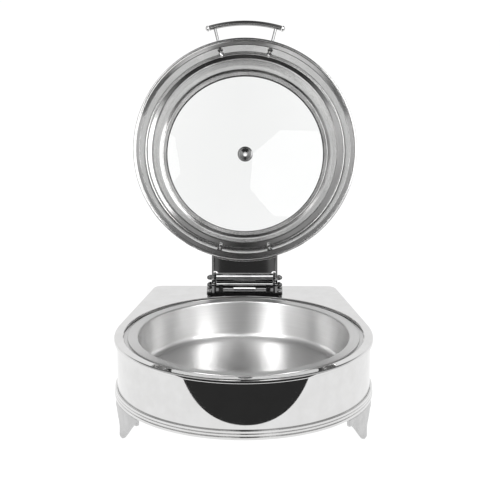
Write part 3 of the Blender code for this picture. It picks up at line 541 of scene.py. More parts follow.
# ---- casing
def make_casing():
    """Deck with a rolled lip, plain wall, beaded band and the bottom sheet."""
    lip = rounded([(0.0120, 0.0, 0), (0.0, 0.0, 0.0030), (0.0, -0.0074, 0.0020), (0.0034, -0.0074, 0.0009),
                   (0.0034, -DECK_SHEET, 0.0008), (0.0100, -DECK_SHEET, 0)], closed=False, steps=6)
    well_outside = WELL_RADIUS + PAN_SHEET + CLEARANCE
    well = rounded([(0.2030, -DECK_SHEET, 0), (well_outside, -DECK_SHEET, 0.0006),
                    (well_outside, LEDGE_Z - DECK_SHEET, 0.0012),
                    (LEDGE_RADIUS, LEDGE_Z - DECK_SHEET, 0.0005), (LEDGE_RADIUS, LEDGE_Z, 0.0005),
                    (WELL_RADIUS, LEDGE_Z, 0.0006), (WELL_RADIUS, 0.0, 0.0009), (0.2025, 0.0, 0)],
                   closed=False, steps=4)
    rings = [body_outline(*point) for point in lip] + [outline_circle(*point) for point in well]
    show("deck", skin(rings), "mirror_steel")

    top, inside, edge = -DECK_SHEET - CLEARANCE, WALL_INSET + WALL_SHEET, 0.0003
    wall = rounded([(WALL_INSET, top, edge), (WALL_INSET, BASE_Z, edge), (inside, BASE_Z, edge),
                    (inside, top, edge)], steps=2)
    show("side_wall", skin([body_outline(*point) for point in wall]), "mirror_steel")

    inner = WALL_INSET - CLEARANCE
    band = rounded([(inner, -0.0858, 0.0002), (0.0008, -0.0858, 0.0009), (0.0008, -0.0902, 0.0012),
                    (0.0022, -0.0905, 0.0003), (0.0004, -0.0910, 0.0012), (0.0004, -0.0950, 0.0012),
                    (0.0018, -0.0955, 0.0003), (-0.0004, -0.0960, 0.0014), (-0.0004, BASE_Z, 0.0012),
                    (inner, BASE_Z, 0.0003)], steps=5)
    show("base_band", skin([body_outline(*point) for point in band]), "mirror_steel")

    inset, over = inside + CLEARANCE, BASE_Z + FLOOR_SHEET
    sheet = [body_outline(inset, BASE_Z), body_outline(inset, over),
             outline_circle(FLOOR_OPENING, over), outline_circle(FLOOR_OPENING, BASE_Z)]
    holes = []
    for rear in (False, True):
        for mirror in (1, -1):
            for offset in (-FOOT_SCREW_SPREAD, FOOT_SCREW_SPREAD):
                place = at(*foot_place(rear, mirror, offset, FOOT_SCREW_INSET, BASE_Z))
                holes.append(moved(peg(SCREW_HOLE, -0.004, 0.004), place))
    show("floor_sheet", machined(skin(sheet), cut=holes, bevel=0.0002, segments=1), "satin_steel")


# ---- feet
def foot_lower_edge(along):
    """Height of a foot's lower edge: a round lobe, a cusp, a swept edge and the toe."""
    reach = abs(along)
    if reach > LOBE_START:
        share = (reach - LOBE_START) / (FOOT_HALF_WIDTH - LOBE_START)
        return LOBE_Z - 0.0022 * sqrt(max(0.0, 1 - (2 * share - 0.75) ** 2)) + 0.0012 * share ** 6
    if reach > TOE_HALF_WIDTH:
        share = (LOBE_START - reach) / (LOBE_START - TOE_HALF_WIDTH)
        hollow = 0.0022 * sin(pi * share)
        return LOBE_Z + (GROUND_Z + 0.0035 - LOBE_Z) * share + hollow
    share = reach / TOE_HALF_WIDTH
    return GROUND_Z + 0.0035 * max(0.0, share - 0.4) ** 2 / 0.36


def foot_place(rear, mirror, along, inset, height):
    """Point on a foot: distance along the casing's edge, depth behind the outer face."""
    if rear:
        normal = heading(SIDE_TURN)
        track = Vector((-normal.y, normal.x))
        spot = normal * (FOOT_RADIUS - inset) + track * (REAR_FOOT_ALONG + along)
    else:
        spot = heading(FOOT_ANGLE + along / FOOT_RADIUS) * (FOOT_RADIUS - inset)
    return Vector((spot.x * mirror, spot.y, height))


def foot_mesh(rear, mirror):
    """Cast foot: a curved plate with a raised middle and soft edges, narrowing to a flared toe."""
    columns, rows = 72, 26
    top = BASE_Z - CLEARANCE
    flare_start = top - 0.028
    mesh = bmesh.new()

    def corner(inset, column, row):
        along = FOOT_HALF_WIDTH * (2 * column / columns - 1)
        low = foot_lower_edge(along)
        height = top + (low - top) * row / rows
        flare = TOE_FLARE * max(0.0, (flare_start - height) / (flare_start - GROUND_Z)) ** 2
        margin = min(top - height, height - low, FOOT_HALF_WIDTH - abs(along))
        soft = 0.0016 * max(0.0, 1 - margin / 0.0022) ** 2
        depth = inset - flare + (soft if inset == 0.0 else -soft * 0.6)
        return mesh.verts.new(foot_place(rear, mirror, along, depth, height))

    outer, inner = [[[corner(inset, column, row) for row in range(rows + 1)]
                     for column in range(columns + 1)] for inset in (0.0, FOOT_SHEET)]
    grids = [outer, inner, (outer[0], inner[0]), (outer[-1], inner[-1])]
    grids += [[[line[row] for line in grid] for grid in (outer, inner)] for row in (0, -1)]
    for grid in grids:
        for low, high in zip(grid, grid[1:]):
            for step in range(len(low) - 1):
                mesh.faces.new((low[step], low[step + 1], high[step + 1], high[step]))
    return mesh


def foot_tab(rear, mirror):
    """Fixing tab behind a foot, under the bottom sheet."""
    top = BASE_Z - CLEARANCE
    outline = []
    near, far = FOOT_SHEET * 0.5, FOOT_SHEET + TAB_DEPTH - 0.0006
    for side, inset in ((-1, near), (1, near), (1, far), (-1, far)):
        spot = foot_place(rear, mirror, side * TAB_HALF_WIDTH, inset, 0.0)
        outline.append((spot.x, spot.y, 0.004 if inset > FOOT_SHEET else 0))
    return slab(rounded(outline), top - TAB_SHEET, top)


def screw_mesh(head, head_high, shank, length):
    """A pan-head screw with a cross recess, its head's flat underside at height 0."""
    dome = [(head * cos(turn), head_high * (0.30 + 0.70 * sin(turn)))
            for turn in (pi / 2 * step / 8 for step in range(9))]
    profile = [(0.0, -length), (shank, -length), (shank, 0.0), (head, 0.0)] + dome[:-1] + [(0.0, head_high)]
    slot_half, slot_wide, slot_deep = head * 0.55, head * 0.13, head_high * 0.45
    bars = [slab(rounded(rectangle(across, -down, down, 0)), head_high - slot_deep, head_high + 0.001)
            for across, down in ((slot_half, slot_wide), (slot_wide, slot_half))]
    return machined(turned(profile, SMALL), cut=bars, bevel=0.0)


def make_feet():
    seat = BASE_Z - TAB_SHEET - 2 * CLEARANCE
    for end, rear in (("front", False), ("rear", True)):
        for hand, mirror in HANDS:
            holes = []
            for number, offset in enumerate((-FOOT_SCREW_SPREAD, FOOT_SCREW_SPREAD), start=1):
                place = at(*foot_place(rear, mirror, offset, FOOT_SCREW_INSET, seat))
                screw = screw_mesh(SCREW_HEAD, 0.0024, SCREW_SHANK, 0.0075)
                screw = moved(screw, place @ Matrix.Rotation(pi, 4, "X"))
                show(f"foot_screw_{end}_{hand}_{number}", screw, "screw_steel")
                holes.append(moved(peg(SCREW_HOLE, -0.004, 0.008), place))
            tab = machined(foot_tab(rear, mirror), cut=holes, bevel=0.0003)
            foot = machined(foot_mesh(rear, mirror), added=[tab], bevel=0.0)
            show(f"foot_{end}_{hand}", foot, "cast_steel", even=False)


# ---- pans
def make_pan(name, rim, mouth, floor, rim_z, floor_z, fillet, lip, hem=0.0):
    """A deep-drawn pan: flat rim with or without a turned-down hem, round shoulder, flat floor."""
    face = rounded([(rim - PAN_SHEET, rim_z, 0), (mouth, rim_z, lip), (floor, floor_z, fillet),
                    (floor - 0.030, floor_z, 0)], closed=False, steps=14)
    back = thickened(face, -PAN_SHEET)
    inner, start, below = rim - PAN_SHEET, (rim - 0.004, rim_z, 0), rim_z - PAN_SHEET
    end = (rim - 0.004, below, 0)
    if hem:
        corners = [start, (rim, rim_z, 0.0010), (rim, rim_z - hem, 0.0003), (inner, rim_z - hem, 0.0003),
                   (inner, below - 0.0001, 0.0002), end]
    else:
        corners = [start, (rim, rim_z, 0.0004), (rim, below, 0.0004), end]
    edge = rounded(corners, closed=False, steps=4 if hem else 3)
    radii = (0.0, 0.01, 0.05, 0.10)
    centre = [(radius, floor_z) for radius in radii]
    under = [(radius, floor_z - PAN_SHEET) for radius in radii[::-1]]
    profile = centre + face[:0:-1] + edge + back[1:] + under
    show(name, turned(profile), "satin_steel", name)


# ---- hinge
def ear_outline(low):
    """Side view of an ear of the hinge base, round over the axle."""
    front, back = PIVOT.y - EAR_FRONT, PIVOT.y + EAR_BACK
    head = arc((PIVOT.y, PIVOT.z), CHEEK_RADIUS, 20, 150, 20)
    foot = rounded([(front, low, 0), (back, low, 0), (back, EAR_WAIST, 0.003), head[0] + (0,)],
                   closed=False)
    neck = rounded([head[-1] + (0,), (front, EAR_WAIST, 0.003), (front, low, 0)], closed=False)
    return foot[:-1] + head + neck[1:-1]


def make_hinge_base():
    """Plate with round corners, two ears for the axle and two lugs for the roller pin."""
    low, top = CLEARANCE, CLEARANCE + HINGE_PLATE_SHEET
    half, corner = HINGE_PLATE_HALF, 0.003
    plate = slab(rounded(rectangle(half, HINGE_PLATE_FRONT, HINGE_PLATE_BACK, corner)), low, top)
    lug = [(ROLLER_Y - LUG_HALF, top - low), (ROLLER_Y + LUG_HALF, top - low)]
    lug += arc((ROLLER_Y, ROLLER_Z), 0.0035, 0, 180, 16)
    added, cut = [], []
    for mirror in (1, -1):
        added.append(side_plate(ear_outline(top - low), mirror * EAR_X, mirror * (EAR_X + EAR_SHEET)))
        added.append(side_plate(lug, mirror * LUG_X, mirror * (LUG_X + 2 * LUG_HALF)))
        for x, y in HINGE_SCREWS:
            cut.append(moved(peg(SCREW_HOLE, -0.004, 0.006), at(mirror * x, y, 0.0)))
    for y, z, radius in ((PIVOT.y, PIVOT.z, AXLE_RADIUS), (STOP_Y, STOP_Z, AXLE_RADIUS),
                         (ROLLER_Y, ROLLER_Z, PIN_RADIUS)):
        bore = rod(radius + CLEARANCE, -0.060, 0.060, 0.0001, 32)
        cut.append(moved(bore, at(0, y, z)))
    # the hinge base is drawn in near-black steel: painted shade for the dark gap under the tubes
    show("hinge_base", machined(plate, added, cut, bevel=0.0005), "shaded_steel")

    under = -DECK_SHEET - CLEARANCE
    outline = rounded(rectangle(half, HINGE_PLATE_FRONT - 0.0005, HINGE_PLATE_BACK + 0.0005, corner))
    holes = []
    for hand, mirror in HANDS:
        for row, (x, y) in zip(("front", "rear"), HINGE_SCREWS):
            holes.append(moved(peg(SCREW_HOLE, -0.008, 0.002), at(mirror * x, y, 0.0)))
            seat = at(mirror * x, y, HINGE_PLATE_SHEET + 2 * CLEARANCE)
            turn = Matrix.Rotation(radians(25 * mirror + 40 * (row == "rear")), 4, "Z")
            screw = screw_mesh(SCREW_HEAD, 0.0026, SCREW_SHANK, 0.0085)
            show(f"hinge_screw_{row}_{hand}", moved(screw, seat @ turn), "screw_steel")
    show("hinge_backing_plate", machined(slab(outline, under - 0.003, under), cut=holes), "satin_steel")


def spring_mesh(coil, wire, left, right, coils):
    """A torsion spring's coil along X, closed at both ends."""
    rings, steps, sides = [], 28, 10
    for step in range(coils * steps + 1):
        turn = 2 * pi * step / steps
        middle = left + (right - left) * step / (coils * steps)
        ring = []
        for around in all_round(sides):
            radius = coil + wire * cos(around)
            ring.append((middle + wire * sin(around), radius * cos(turn), radius * sin(turn)))
        rings.append(ring)
    return skin(rings, closed_stack=False)


def make_hinge_rods():
    """Axle, its tube and spring, the stop rod and its tube, and the roller on its pin."""
    half, gap = CHEEK_X + CHEEK_SHEET, CLEARANCE
    end, inside = half + 0.004, EAR_X - gap
    axle, stop, pin = at(*PIVOT), at(0, STOP_Y, STOP_Z), at(0, ROLLER_Y, ROLLER_Z)
    # the hinge's axle, rods and tubes are drawn in darkened steel: painted shade for their dark reflections
    lid_piece("hinge_axle", moved(rod(AXLE_RADIUS, -end, end), axle), "hinge_steel")
    tube = sleeve(TUBE_RADIUS, TUBE_BORE, -inside, inside)
    show("hinge_tube", moved(tube, axle), "hinge_steel", "hinge_tube")
    show("torsion_spring", moved(spring_mesh(0.0049, 0.0007, -0.046, 0.046, 34), axle),
         "spring_steel", even=False)
    show("stop_rod", moved(rod(AXLE_RADIUS, -end, end), stop), "hinge_steel")
    stop_tube = sleeve(STOP_TUBE_RADIUS, AXLE_RADIUS + gap, -inside, inside)
    show("stop_rod_tube", moved(stop_tube, stop), "hinge_steel")
    reach = LUG_X + 2 * LUG_HALF
    show("roller_pin", moved(rod(PIN_RADIUS, -reach, reach, 0.0002), pin), "hinge_steel")
    show("roller", moved(sleeve(ROLLER_RADIUS, PIN_RADIUS + gap, -ROLLER_HALF, ROLLER_HALF), pin),
         "mirror_steel", "roller")
    for hand, mirror in HANDS:
        outward = Matrix.Rotation(mirror * pi / 2, 4, "Y")
        place = at(mirror * (half + gap), 0, 0) @ outward
        # the axle and stop-rod nuts are drawn in dark steel: painted shade for their dark reflections
        lid_piece(f"axle_nut_{hand}", moved(cap_nut(NUT_FLAT), axle @ place), "dark_steel")
        show(f"stop_rod_nut_{hand}", moved(cap_nut(NUT_FLAT), stop @ place), "dark_steel")
        near, far = EAR_X + EAR_SHEET + gap, CHEEK_X - gap
        washer = sleeve(0.0085, AXLE_RADIUS + gap, mirror * near, mirror * far, 0.0002)
        lid_piece(f"hinge_washer_{hand}", moved(washer, axle), "screw_steel")


# ---- lid
def lid_wall_radius(height):
    """Inner radius of the lid's sloping lower wall."""
    (low_radius, low), (high_radius, high) = LID_WALL
    return low_radius + (high_radius - low_radius) * (height - low) / (high - low)


def wall_hole(turn, height):
    """Cutter for the hole of a stud through the lid's wall."""
    radius = STUD_RADIUS + CLEARANCE
    return moved(peg(radius, -0.003, 0.010), wall_place(turn, lid_wall_radius(height) - 0.003, height))


def wall_place(turn, radius, height, inward=False):
    """Place on a circle about the lid's axis, with Z pointing out of the circle or into it."""
    spot = grip_point(turn, radius, height)
    aim = grip_point(turn, -1.0 if inward else 1.0, 0.0)
    return at(*spot) @ aim.to_track_quat("Z", "Y").to_matrix().to_4x4()


def make_lid_shell():
    """Pressed dome ring: rolled rim, lip, sloping wall, shoulder, cove and a seat for the window.

    Narrow flat shelves part the lip, the wall and the shoulder.
    """
    path = rounded([(0.1940, -0.0022, 0), (0.1928, -0.0022, 0.0004), (0.1868, 0.0024, 0.0005),
                    (0.1858, 0.0026, 0.0005), LID_WALL[1] + (0.0012,), (0.1762, 0.0243, 0.0012),
                    (0.1735, 0.0280, 0.0030), (0.1650, 0.0325, 0.0100), (0.1560, 0.0480, 0.0300),
                    (0.1492, 0.0695, 0.0016), (0.1425, 0.0698, 0)], closed=False, steps=9)
    outer = thickened(path, LID_SHEET)
    bead = arc((LID_RIM, LID_RIM_Z), LID_BEAD, 180, 450, 18)
    holes = []
    for mirror in (1, -1):
        holes.append(wall_hole(mirror * POST_ANGLE, GRIP_Z))
        holes.append(wall_hole(pi - mirror * POST_ANGLE, BRACKET_BOLT_Z))
    shell = machined(turned(path[::-1] + bead + outer), cut=holes, bevel=0.0)
    # the lid's outer face is the polished steel darkened: painted shade
    item = lid_piece("lid_shell", shell, "lid_steel")
    item.data.materials.append(MATERIALS["spun_steel"])
    # the third material paints shade as dark lines in the inside creases
    item.data.materials.append(MATERIALS["dark_steel"])
    for face in item.data.polygons:
        radius = face.center.xy.length
        outward = Vector((face.center.x, face.center.y, 0.0)).normalized()
        faces_in = face.normal.dot(outward + Vector((0.0, 0.0, 1.0))) < -0.2
        if faces_in and radius < LID_INSIDE:
            # faces inside the crease bands get painted shade
            in_painted_shade = any(low < radius < high for low, high in LID_CREASE_SHADE)
            face.material_index = 2 if in_painted_shade else 1


def glass_height(radius):
    return GLASS_EDGE_Z + GLASS_RISE * (1 - (radius / GLASS_RADIUS) ** 2)


def make_window():
    """Domed glass in a rubber channel, clamped by a steel ring, with a vent at its middle."""
    vent_bore = 0.0065
    radii = [vent_bore + (GLASS_RADIUS - 0.0006 - vent_bore) * step / 24 for step in range(25)]
    under = [(radius, glass_height(radius)) for radius in radii]
    upper = [(radius, glass_height(radius) + GLASS_SHEET) for radius in radii]
    edge = [(GLASS_RADIUS, GLASS_EDGE_Z + 0.0008), (GLASS_RADIUS, GLASS_EDGE_Z + GLASS_SHEET - 0.0006)]
    lid_piece("lid_window", turned(under + edge + upper[::-1]), "glass")

    gap, foot, lip = CLEARANCE, GLASS_EDGE_Z, 0.1411
    rise = glass_height(lip)
    near, far, over = GLASS_RADIUS + gap, GLASS_RADIUS + 0.0018, GLASS_SHEET + 0.0015
    channel = rounded([(lip, rise - gap, 0.0004), (near, foot - gap, 0.0002),
                       (near, foot + GLASS_SHEET + gap, 0.0002), (lip, rise + GLASS_SHEET + gap, 0.0004),
                       (lip, rise + over, 0.0006), (far, foot + over, 0.0006),
                       (far, foot - 0.0012, 0.0006), (lip, foot - 0.0012, 0.0006)], steps=3)
    lid_piece("window_gasket", turned(channel), "rubber")
    ring_in, ring_out, top = far + gap, 0.1502, rise + over + gap
    ring = rounded([(ring_in, 0.0722, 0.0002), (ring_out, 0.0722, 0.0002), (ring_out, top, 0.0010),
                    (0.1492, top + 0.0011, 0.0010), (0.1436, top + 0.0013, 0.0005),
                    (0.1436, top, 0.0002), (ring_in, top, 0.0002)], steps=4)
    lid_piece("window_ring", turned(ring), "lid_steel")

    seat = glass_height(0.0)
    cup = rounded([(0.0025, seat + 0.0078, 0.0003), (0.0042, seat - 0.0004, 0.0008),
                   (0.0105, seat - 0.0030, 0.0016), (0.0138, seat - 0.0024, 0.0006),
                   (0.0140, seat - 0.0008, 0.0004), (0.0062, seat - 0.0006, 0.0002),
                   (0.0062, seat + 0.0078, 0.0003)], steps=5)
    # the vent is drawn in darkened steel: painted shade
    lid_piece("steam_vent", turned(cup, 72), "vent_steel")
    nut_low, nut_top = seat + GLASS_SHEET + gap, seat + GLASS_SHEET + 0.0032
    nut = rounded([(0.0065, nut_low, 0.0001), (0.0120, nut_low, 0.0003), (0.0116, nut_top, 0.0008),
                   (0.0065, nut_top, 0.0003)], steps=4)
    lid_piece("vent_nut", turned(nut, 72), "dark_steel")


def grip_point(turn, radius=GRIP_RADIUS, height=GRIP_Z):
    """Point on an arc about the lid's axis, measured from the front."""
    return Vector((radius * sin(turn), -radius * cos(turn), height))


def make_handle():
    """Arched grip on two radial posts that pass through the lid's wall to cap nuts inside."""
    steps, sides = 72, 32
    rings = []
    for step in range(steps + 1):
        turn = -GRIP_HALF_ANGLE + 2 * GRIP_HALF_ANGLE * step / steps
        rings.append([grip_point(turn, GRIP_RADIUS + GRIP_THICK * cos(around),
                                 GRIP_Z + GRIP_THICK * sin(around)) for around in all_round(sides)])
    wall = lid_wall_radius(GRIP_Z)
    shoulder = STUD_REACH + POST_SHOULDER
    length = GRIP_RADIUS - wall + STUD_REACH - 0.001
    sockets = []
    for hand, mirror in HANDS:
        turn = mirror * POST_ANGLE
        place = wall_place(turn, wall - STUD_REACH, GRIP_Z)
        profile = rounded([(0, 0, 0), (STUD_RADIUS, 0, 0.0003), (STUD_RADIUS, shoulder, 0.0001),
                           (POST_RADIUS, shoulder, 0.0005), (POST_RADIUS, length, 0.0002), (0, length, 0)],
                          closed=False, steps=3)
        # the posts use the darkened hinge steel: painted shade
        lid_piece(f"handle_post_{hand}", moved(turned(profile, SMALL), place), "hinge_steel")
        sockets.append(moved(peg(POST_RADIUS + CLEARANCE, shoulder, length + CLEARANCE, SMALL), place))
        nut_place = wall_place(turn, wall - NUT_SEAT, GRIP_Z, inward=True)
        lid_piece(f"handle_nut_{hand}", moved(cap_nut(SMALL_NUT_FLAT), nut_place), "mirror_steel")
        ball = bmesh.new()
        bmesh.ops.create_uvsphere(ball, u_segments=32, v_segments=20, radius=0.0056)
        bmesh.ops.bisect_plane(ball, geom=ball.verts[:] + ball.edges[:] + ball.faces[:], dist=1e-6,
                               plane_co=(0, 0, 0), plane_no=(-mirror, 0, 0), clear_outer=True)
        bmesh.ops.holes_fill(ball, edges=[edge for edge in ball.edges if edge.is_boundary])
        end = grip_point(mirror * (GRIP_HALF_ANGLE + 0.0012 / GRIP_RADIUS))
        turn_end = Matrix.Rotation(mirror * GRIP_HALF_ANGLE, 4, "Z")
        lid_piece(f"grip_end_{hand}", moved(ball, at(*end) @ turn_end), "mirror_steel")
    grip = machined(skin(rings, closed_stack=False), cut=sockets, bevel=0.0)
    lid_piece("handle_grip", grip, "mirror_steel")


def cheek_outline(near_low, near_high):
    """Side view of the bracket's cheek: from the lid's wall to the axle, with the stop horn."""
    low, high = BRACKET_LOW_Z, BRACKET_WEB_Z
    wall_low, wall_high = [sqrt(near ** 2 - (CHEEK_X + CHEEK_SHEET) ** 2) + 0.002
                           for near in (near_low, near_high)]
    axle = (PIVOT.y, PIVOT.z)
    stop_reach = hypot(STOP_Y - PIVOT.y, STOP_Z - PIVOT.z)
    stop_bearing = atan2(STOP_Z - PIVOT.z, STOP_Y - PIVOT.y)
    beside_rod = asin((AXLE_RADIUS + CLEARANCE) / stop_reach)
    horn = degrees(stop_bearing + beside_rod - LID_OPEN)
    tip = arc(axle, HORN_REACH, horn, horn + HORN_SPREAD * 0.7, 6)
    outline = [(wall_low, low), (PIVOT.y - 0.006, PIVOT.z - CHEEK_RADIUS)]
    outline += arc(axle, CHEEK_RADIUS, -100, horn, 24) + tip
    return outline + arc(axle, CHEEK_RADIUS, horn + HORN_SPREAD, 110, 4) + [(wall_high, high + BRACKET_SHEET)]


def make_lid_bracket():
    """Channel joining the lid to the axle: a curved flange on the wall, a web and two cheeks."""
    lift = LID_SHEET + CLEARANCE + 0.0002
    low, high = BRACKET_LOW_Z, BRACKET_WEB_Z
    near_low, near_high = lid_wall_radius(low) + lift, lid_wall_radius(high) + lift
    curved = [(near_low, low), (near_high, high), (near_high - 0.0006, high + BRACKET_SHEET)]
    back = [(near_high + BRACKET_SHEET, high), (near_low + BRACKET_SHEET, low)]
    half, steps = CHEEK_X, 40
    rings = []
    for step in range(steps + 1):
        x = -half + 2 * half * step / steps
        ring = [(x, sqrt(radius ** 2 - x ** 2), height) for radius, height in curved]
        edge = WEB_TONGUE_END if abs(x) < WEB_TONGUE_HALF else BRACKET_WEB_END
        ring += [(x, edge, high + BRACKET_SHEET), (x, edge, high)]
        ring += [(x, sqrt(radius ** 2 - x ** 2), height) for radius, height in back]
        rings.append(ring)
    cheek = cheek_outline(near_low, near_high)
    cheeks, holes = [], []
    for mirror in (1, -1):
        cheeks.append(side_plate(cheek, mirror * (CHEEK_X - CLEARANCE), mirror * (CHEEK_X + CHEEK_SHEET)))
        holes.append(wall_hole(pi - mirror * POST_ANGLE, BRACKET_BOLT_Z))
    end = CHEEK_X + 2 * CHEEK_SHEET
    holes.append(moved(rod(AXLE_RADIUS + CLEARANCE, -end, end, 0.0001, 32), at(*PIVOT)))
    bracket = machined(skin(rings, closed_stack=False), cheeks, holes, bevel=0.0005)
    lid_piece("lid_bracket", bracket, "mirror_steel")
    for hand, mirror in HANDS:
        turn = pi - mirror * POST_ANGLE
        wall = lid_wall_radius(BRACKET_BOLT_Z)
        bolt = screw_mesh(0.0036, 0.0024, STUD_RADIUS, 0.0060 + STUD_REACH)
        lid_piece(f"bracket_bolt_{hand}", moved(bolt, wall_place(turn, wall + 0.0060, BRACKET_BOLT_Z)),
                  "screw_steel")
        nut_place = wall_place(turn, wall - NUT_SEAT, BRACKET_BOLT_Z, inward=True)
        lid_piece(f"bracket_nut_{hand}", moved(cap_nut(SMALL_NUT_FLAT), nut_place), "mirror_steel")


# ---- studio
def emitter(name, strength):
    """White light of one strength, for the studio's cards."""
    made = bpy.data.materials.new(name)
    made.use_nodes = True
    nodes = Nodes(made.node_tree)
    nodes.tree.nodes.remove(nodes.tree.nodes["Principled BSDF"])
    glow = nodes.node("ShaderNodeEmission", {"Color": (1.0, 1.0, 1.0, 1.0), "Strength": strength})
    nodes.feed(nodes.tree.nodes["Material Output"].inputs["Surface"], glow.outputs[0])
    return made


def card(name, points, finish):
    """A flat card of the studio, drawn about HOME, that shows in reflections only."""
    mesh = bmesh.new()
    mesh.faces.new([mesh.verts.new(point) for point in points])
    data = data_from(mesh, name)
    data.materials.append(finish)
    item = put(name, data)
    item.visible_camera = item.visible_diffuse = item.visible_shadow = item.visible_transmission = False


def octagon(centre, aim, radius):
    """Corners of an eight-sided softbox that faces a point."""
    turn = (aim - centre).to_track_quat("-Z", "Y")
    spokes = [radians(22.5 + 45 * step) for step in range(8)]
    return [centre + turn @ Vector((radius * cos(a), radius * sin(a), 0.0)) for a in spokes]


def softbox(name, place, aim, size, power, pieces):
    """A rectangular lamp.

    One that names pieces, by how their names start, lights only those and is mirrored in them; any
    other lights everything and is not mirrored.
    """
    light = bpy.data.lights.new(name, "AREA")
    light.shape = "RECTANGLE"
    light.size, light.size_y = size
    light.energy = power
    item = put(name, light)
    item.location = HOME + Vector(place)
    item.rotation_euler = (Vector(aim) - Vector(place)).to_track_quat("-Z", "Y").to_euler()
    item.visible_camera = False
    item.visible_glossy = bool(pieces)
    if pieces:
        lit = bpy.data.collections.new(f"{name}_lights")
        for piece in bpy.context.scene.objects:
            if piece.name.startswith(pieces):
                lit.objects.link(piece)
        item.light_linking.receiver_collection = lit


def make_floor():
    """Pale floor, bright enough that it runs into the background."""
    reach = 40.0
    mesh = bmesh.new()
    points = ((-reach, -reach), (reach, -reach), (reach, reach), (-reach, reach))
    mesh.faces.new([mesh.verts.new((x, y, GROUND_Z)) for x, y in points])
    data = data_from(mesh, "floor")
    finish = Finish("floor_paper", Roughness=0.9, Specular_IOR_Level=0.0,
                    Emission_Color=(1.0, 1.0, 1.0, 1.0), Emission_Strength=0.985)
    paper = finish.shades(finish.noise(3.0, 4.0), grey(0.11), grey(0.13))
    finish.feed(finish.shader.inputs["Base Color"], paper)
    data.materials.append(finish.material)
    put("floor", data)


def make_world():
    """A room that darkens upwards, brighter at the sides than ahead, with a white sweep behind the dish."""
    world = bpy.data.worlds.new("studio")
    bpy.context.scene.world = world
    world.use_nodes = True
    nodes = Nodes(world.node_tree)
    aim = nodes.node("ShaderNodeTexCoord").outputs["Generated"]
    x, y, z = nodes.node("ShaderNodeSeparateXYZ", {0: aim}).outputs

    def share(value, start, end):
        made = nodes.node("ShaderNodeMapRange", {"Value": value, "From Min": start, "From Max": end},
                          interpolation_type="SMOOTHSTEP")
        return made.outputs["Result"]

    def blend(factor, *ends):
        made = nodes.node("ShaderNodeMix", {"Factor": factor}, data_type="RGBA")
        for socket, value in zip("AB", ends):
            nodes.feed(made.inputs[socket], (value, value, value, 1.0) if isinstance(value, float) else value)
        return made.outputs["Result"]

    ahead = blend(share(z, 0.0, 0.85), 0.20, 0.04)
    beside = blend(share(z, 0.0, 0.85), 0.80, 0.40)
    room = blend(share(nodes.calc("ABSOLUTE", x), 0.0, 0.40), ahead, beside)
    sweep = blend(share(z, 0.42, 0.66), 0.98, 0.08)
    surroundings = blend(share(y, -0.10, 0.35), room, sweep)
    nodes.feed(nodes.tree.nodes["Background"].inputs["Color"], surroundings)


def seen_from_lid(bearing, elevation, distance):
    """A place in front of the lid, by its bearing and height as seen from the middle of the window."""
    turn, rise = radians(bearing), radians(elevation)
    return WINDOW + distance * Vector((sin(turn) * cos(rise), -cos(turn) * cos(rise), sin(rise)))


LID_PIECES = ("look_lid_shell", "look_lid_window", "look_window", "look_handle", "look_grip")
PAN_PIECES = ("look_food_pan", "look_water_pan")
HINGE_PIECES = ("look_hinge_tube", "look_stop_rod", "look_roller", "look_axle_nut", "look_hinge_axle")


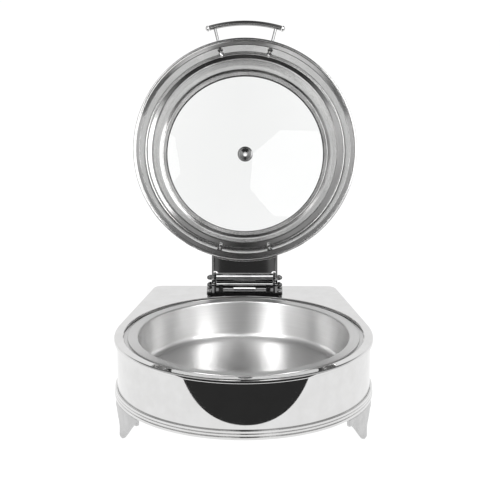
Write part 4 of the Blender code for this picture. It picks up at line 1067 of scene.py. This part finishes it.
def make_studio():
    make_world()
    make_floor()
    dark, dim = emitter("dark_room", 0.032), emitter("dim_room", 0.22)
    above = GROUND_Z + 0.0015
    half, far, wide = 1.6, -6.0, 9.0
    points = ((-half, -0.4545), (half, -0.3169), (half, far), (-half, far))
    card("dark_floor", [(x, y, above) for x, y in points], dark)
    for hand, mirror in HANDS[::-1]:
        points = ((1.35, -wide), (wide, -wide), (wide, 0.6), (1.35, 0.3))
        card(f"dim_floor_{hand}", [(mirror * x, y, above) for x, y in points], dim)

    distance, forward, upward = 2.2, 0.914, 0.405       # from the hinge, square to the open lid's bracket
    flag = [PIVOT + Vector((x, upward * rise - forward * distance, upward * distance + forward * rise))
            for x, rise in ((-0.095, -0.08), (0.055, -0.08), (0.055, 0.09), (-0.095, 0.09))]
    card("dark_flag", flag, dark)
    lamp = emitter("octagon_lamp", 2.4)
    for hand, bearing, elevation in (("left", -10.4, 30.6), ("right", 20.9, 27.6)):
        card(f"octagon_{hand}", octagon(seen_from_lid(bearing, elevation, 2.6), WINDOW, 0.37), lamp)

    dish = (0.0, 0.0, 0.0)
    for name, place, aim, size, power, *pieces in (
            ("overhead", (0.0, 0.1, 1.9), dish, (1.4, 0.8), 10.0),
            ("left", (-1.8, 0.1, 0.8), (0.0, 0.0, 0.1), (0.8, 1.2), 6.0),
            ("right", (1.8, 0.1, 0.8), (0.0, 0.0, 0.1), (0.7, 1.1), 4.0),
            ("lid_left", (-0.76, -1.30, 1.15), dish, (0.60, 1.3), 8.0, *LID_PIECES),
            ("lid_right", (1.15, -1.00, 1.15), dish, (0.90, 1.5), 22.0, *LID_PIECES),
            ("pan_left", (-0.92, -1.30, 0.80), dish, (0.62, 1.1), 20.0, *PAN_PIECES),
            ("pan_right", (1.20, -1.08, 0.95), dish, (0.62, 1.1), 18.0, *PAN_PIECES),
            ("pan_top", (0.0, -0.75, 1.75), dish, (1.3, 0.40), 6.0, *PAN_PIECES),
            ("hinge_top", (0.0, -0.80, 1.50), (0.0, 0.2, 0.1), (1.3, 1.5), 19.0, *HINGE_PIECES)):
        softbox(name, place, aim, size, power, tuple(pieces))
    bpy.context.scene.view_settings.view_transform = "Standard"


def make_camera():
    lens = bpy.data.cameras.new("camera")
    lens.lens, lens.sensor_width, lens.shift_x, lens.clip_end = 131.3, 36.0, 0.0128, 100.0
    camera = put("camera", lens)
    camera.location = HOME + Vector((0.0226, -2.8586, 1.0108))
    camera.rotation_euler = (radians(73.154), 0.0, radians(0.4537))
    bpy.context.scene.camera = camera


make_camera()
make_casing()
make_feet()
make_pan("water_pan", rim=0.1985, mouth=0.183, floor=0.176, rim_z=LEDGE_Z + CLEARANCE + PAN_SHEET,
         floor_z=-0.089, fillet=0.010, lip=0.002)
make_pan("food_pan", rim=0.1925, mouth=0.175, floor=0.169, rim_z=-0.0016, floor_z=-0.0666,
         fillet=0.012, lip=0.003, hem=0.0028)
make_hinge_base()
make_hinge_rods()
make_lid_shell()
make_window()
make_handle()
make_lid_bracket()
make_studio()
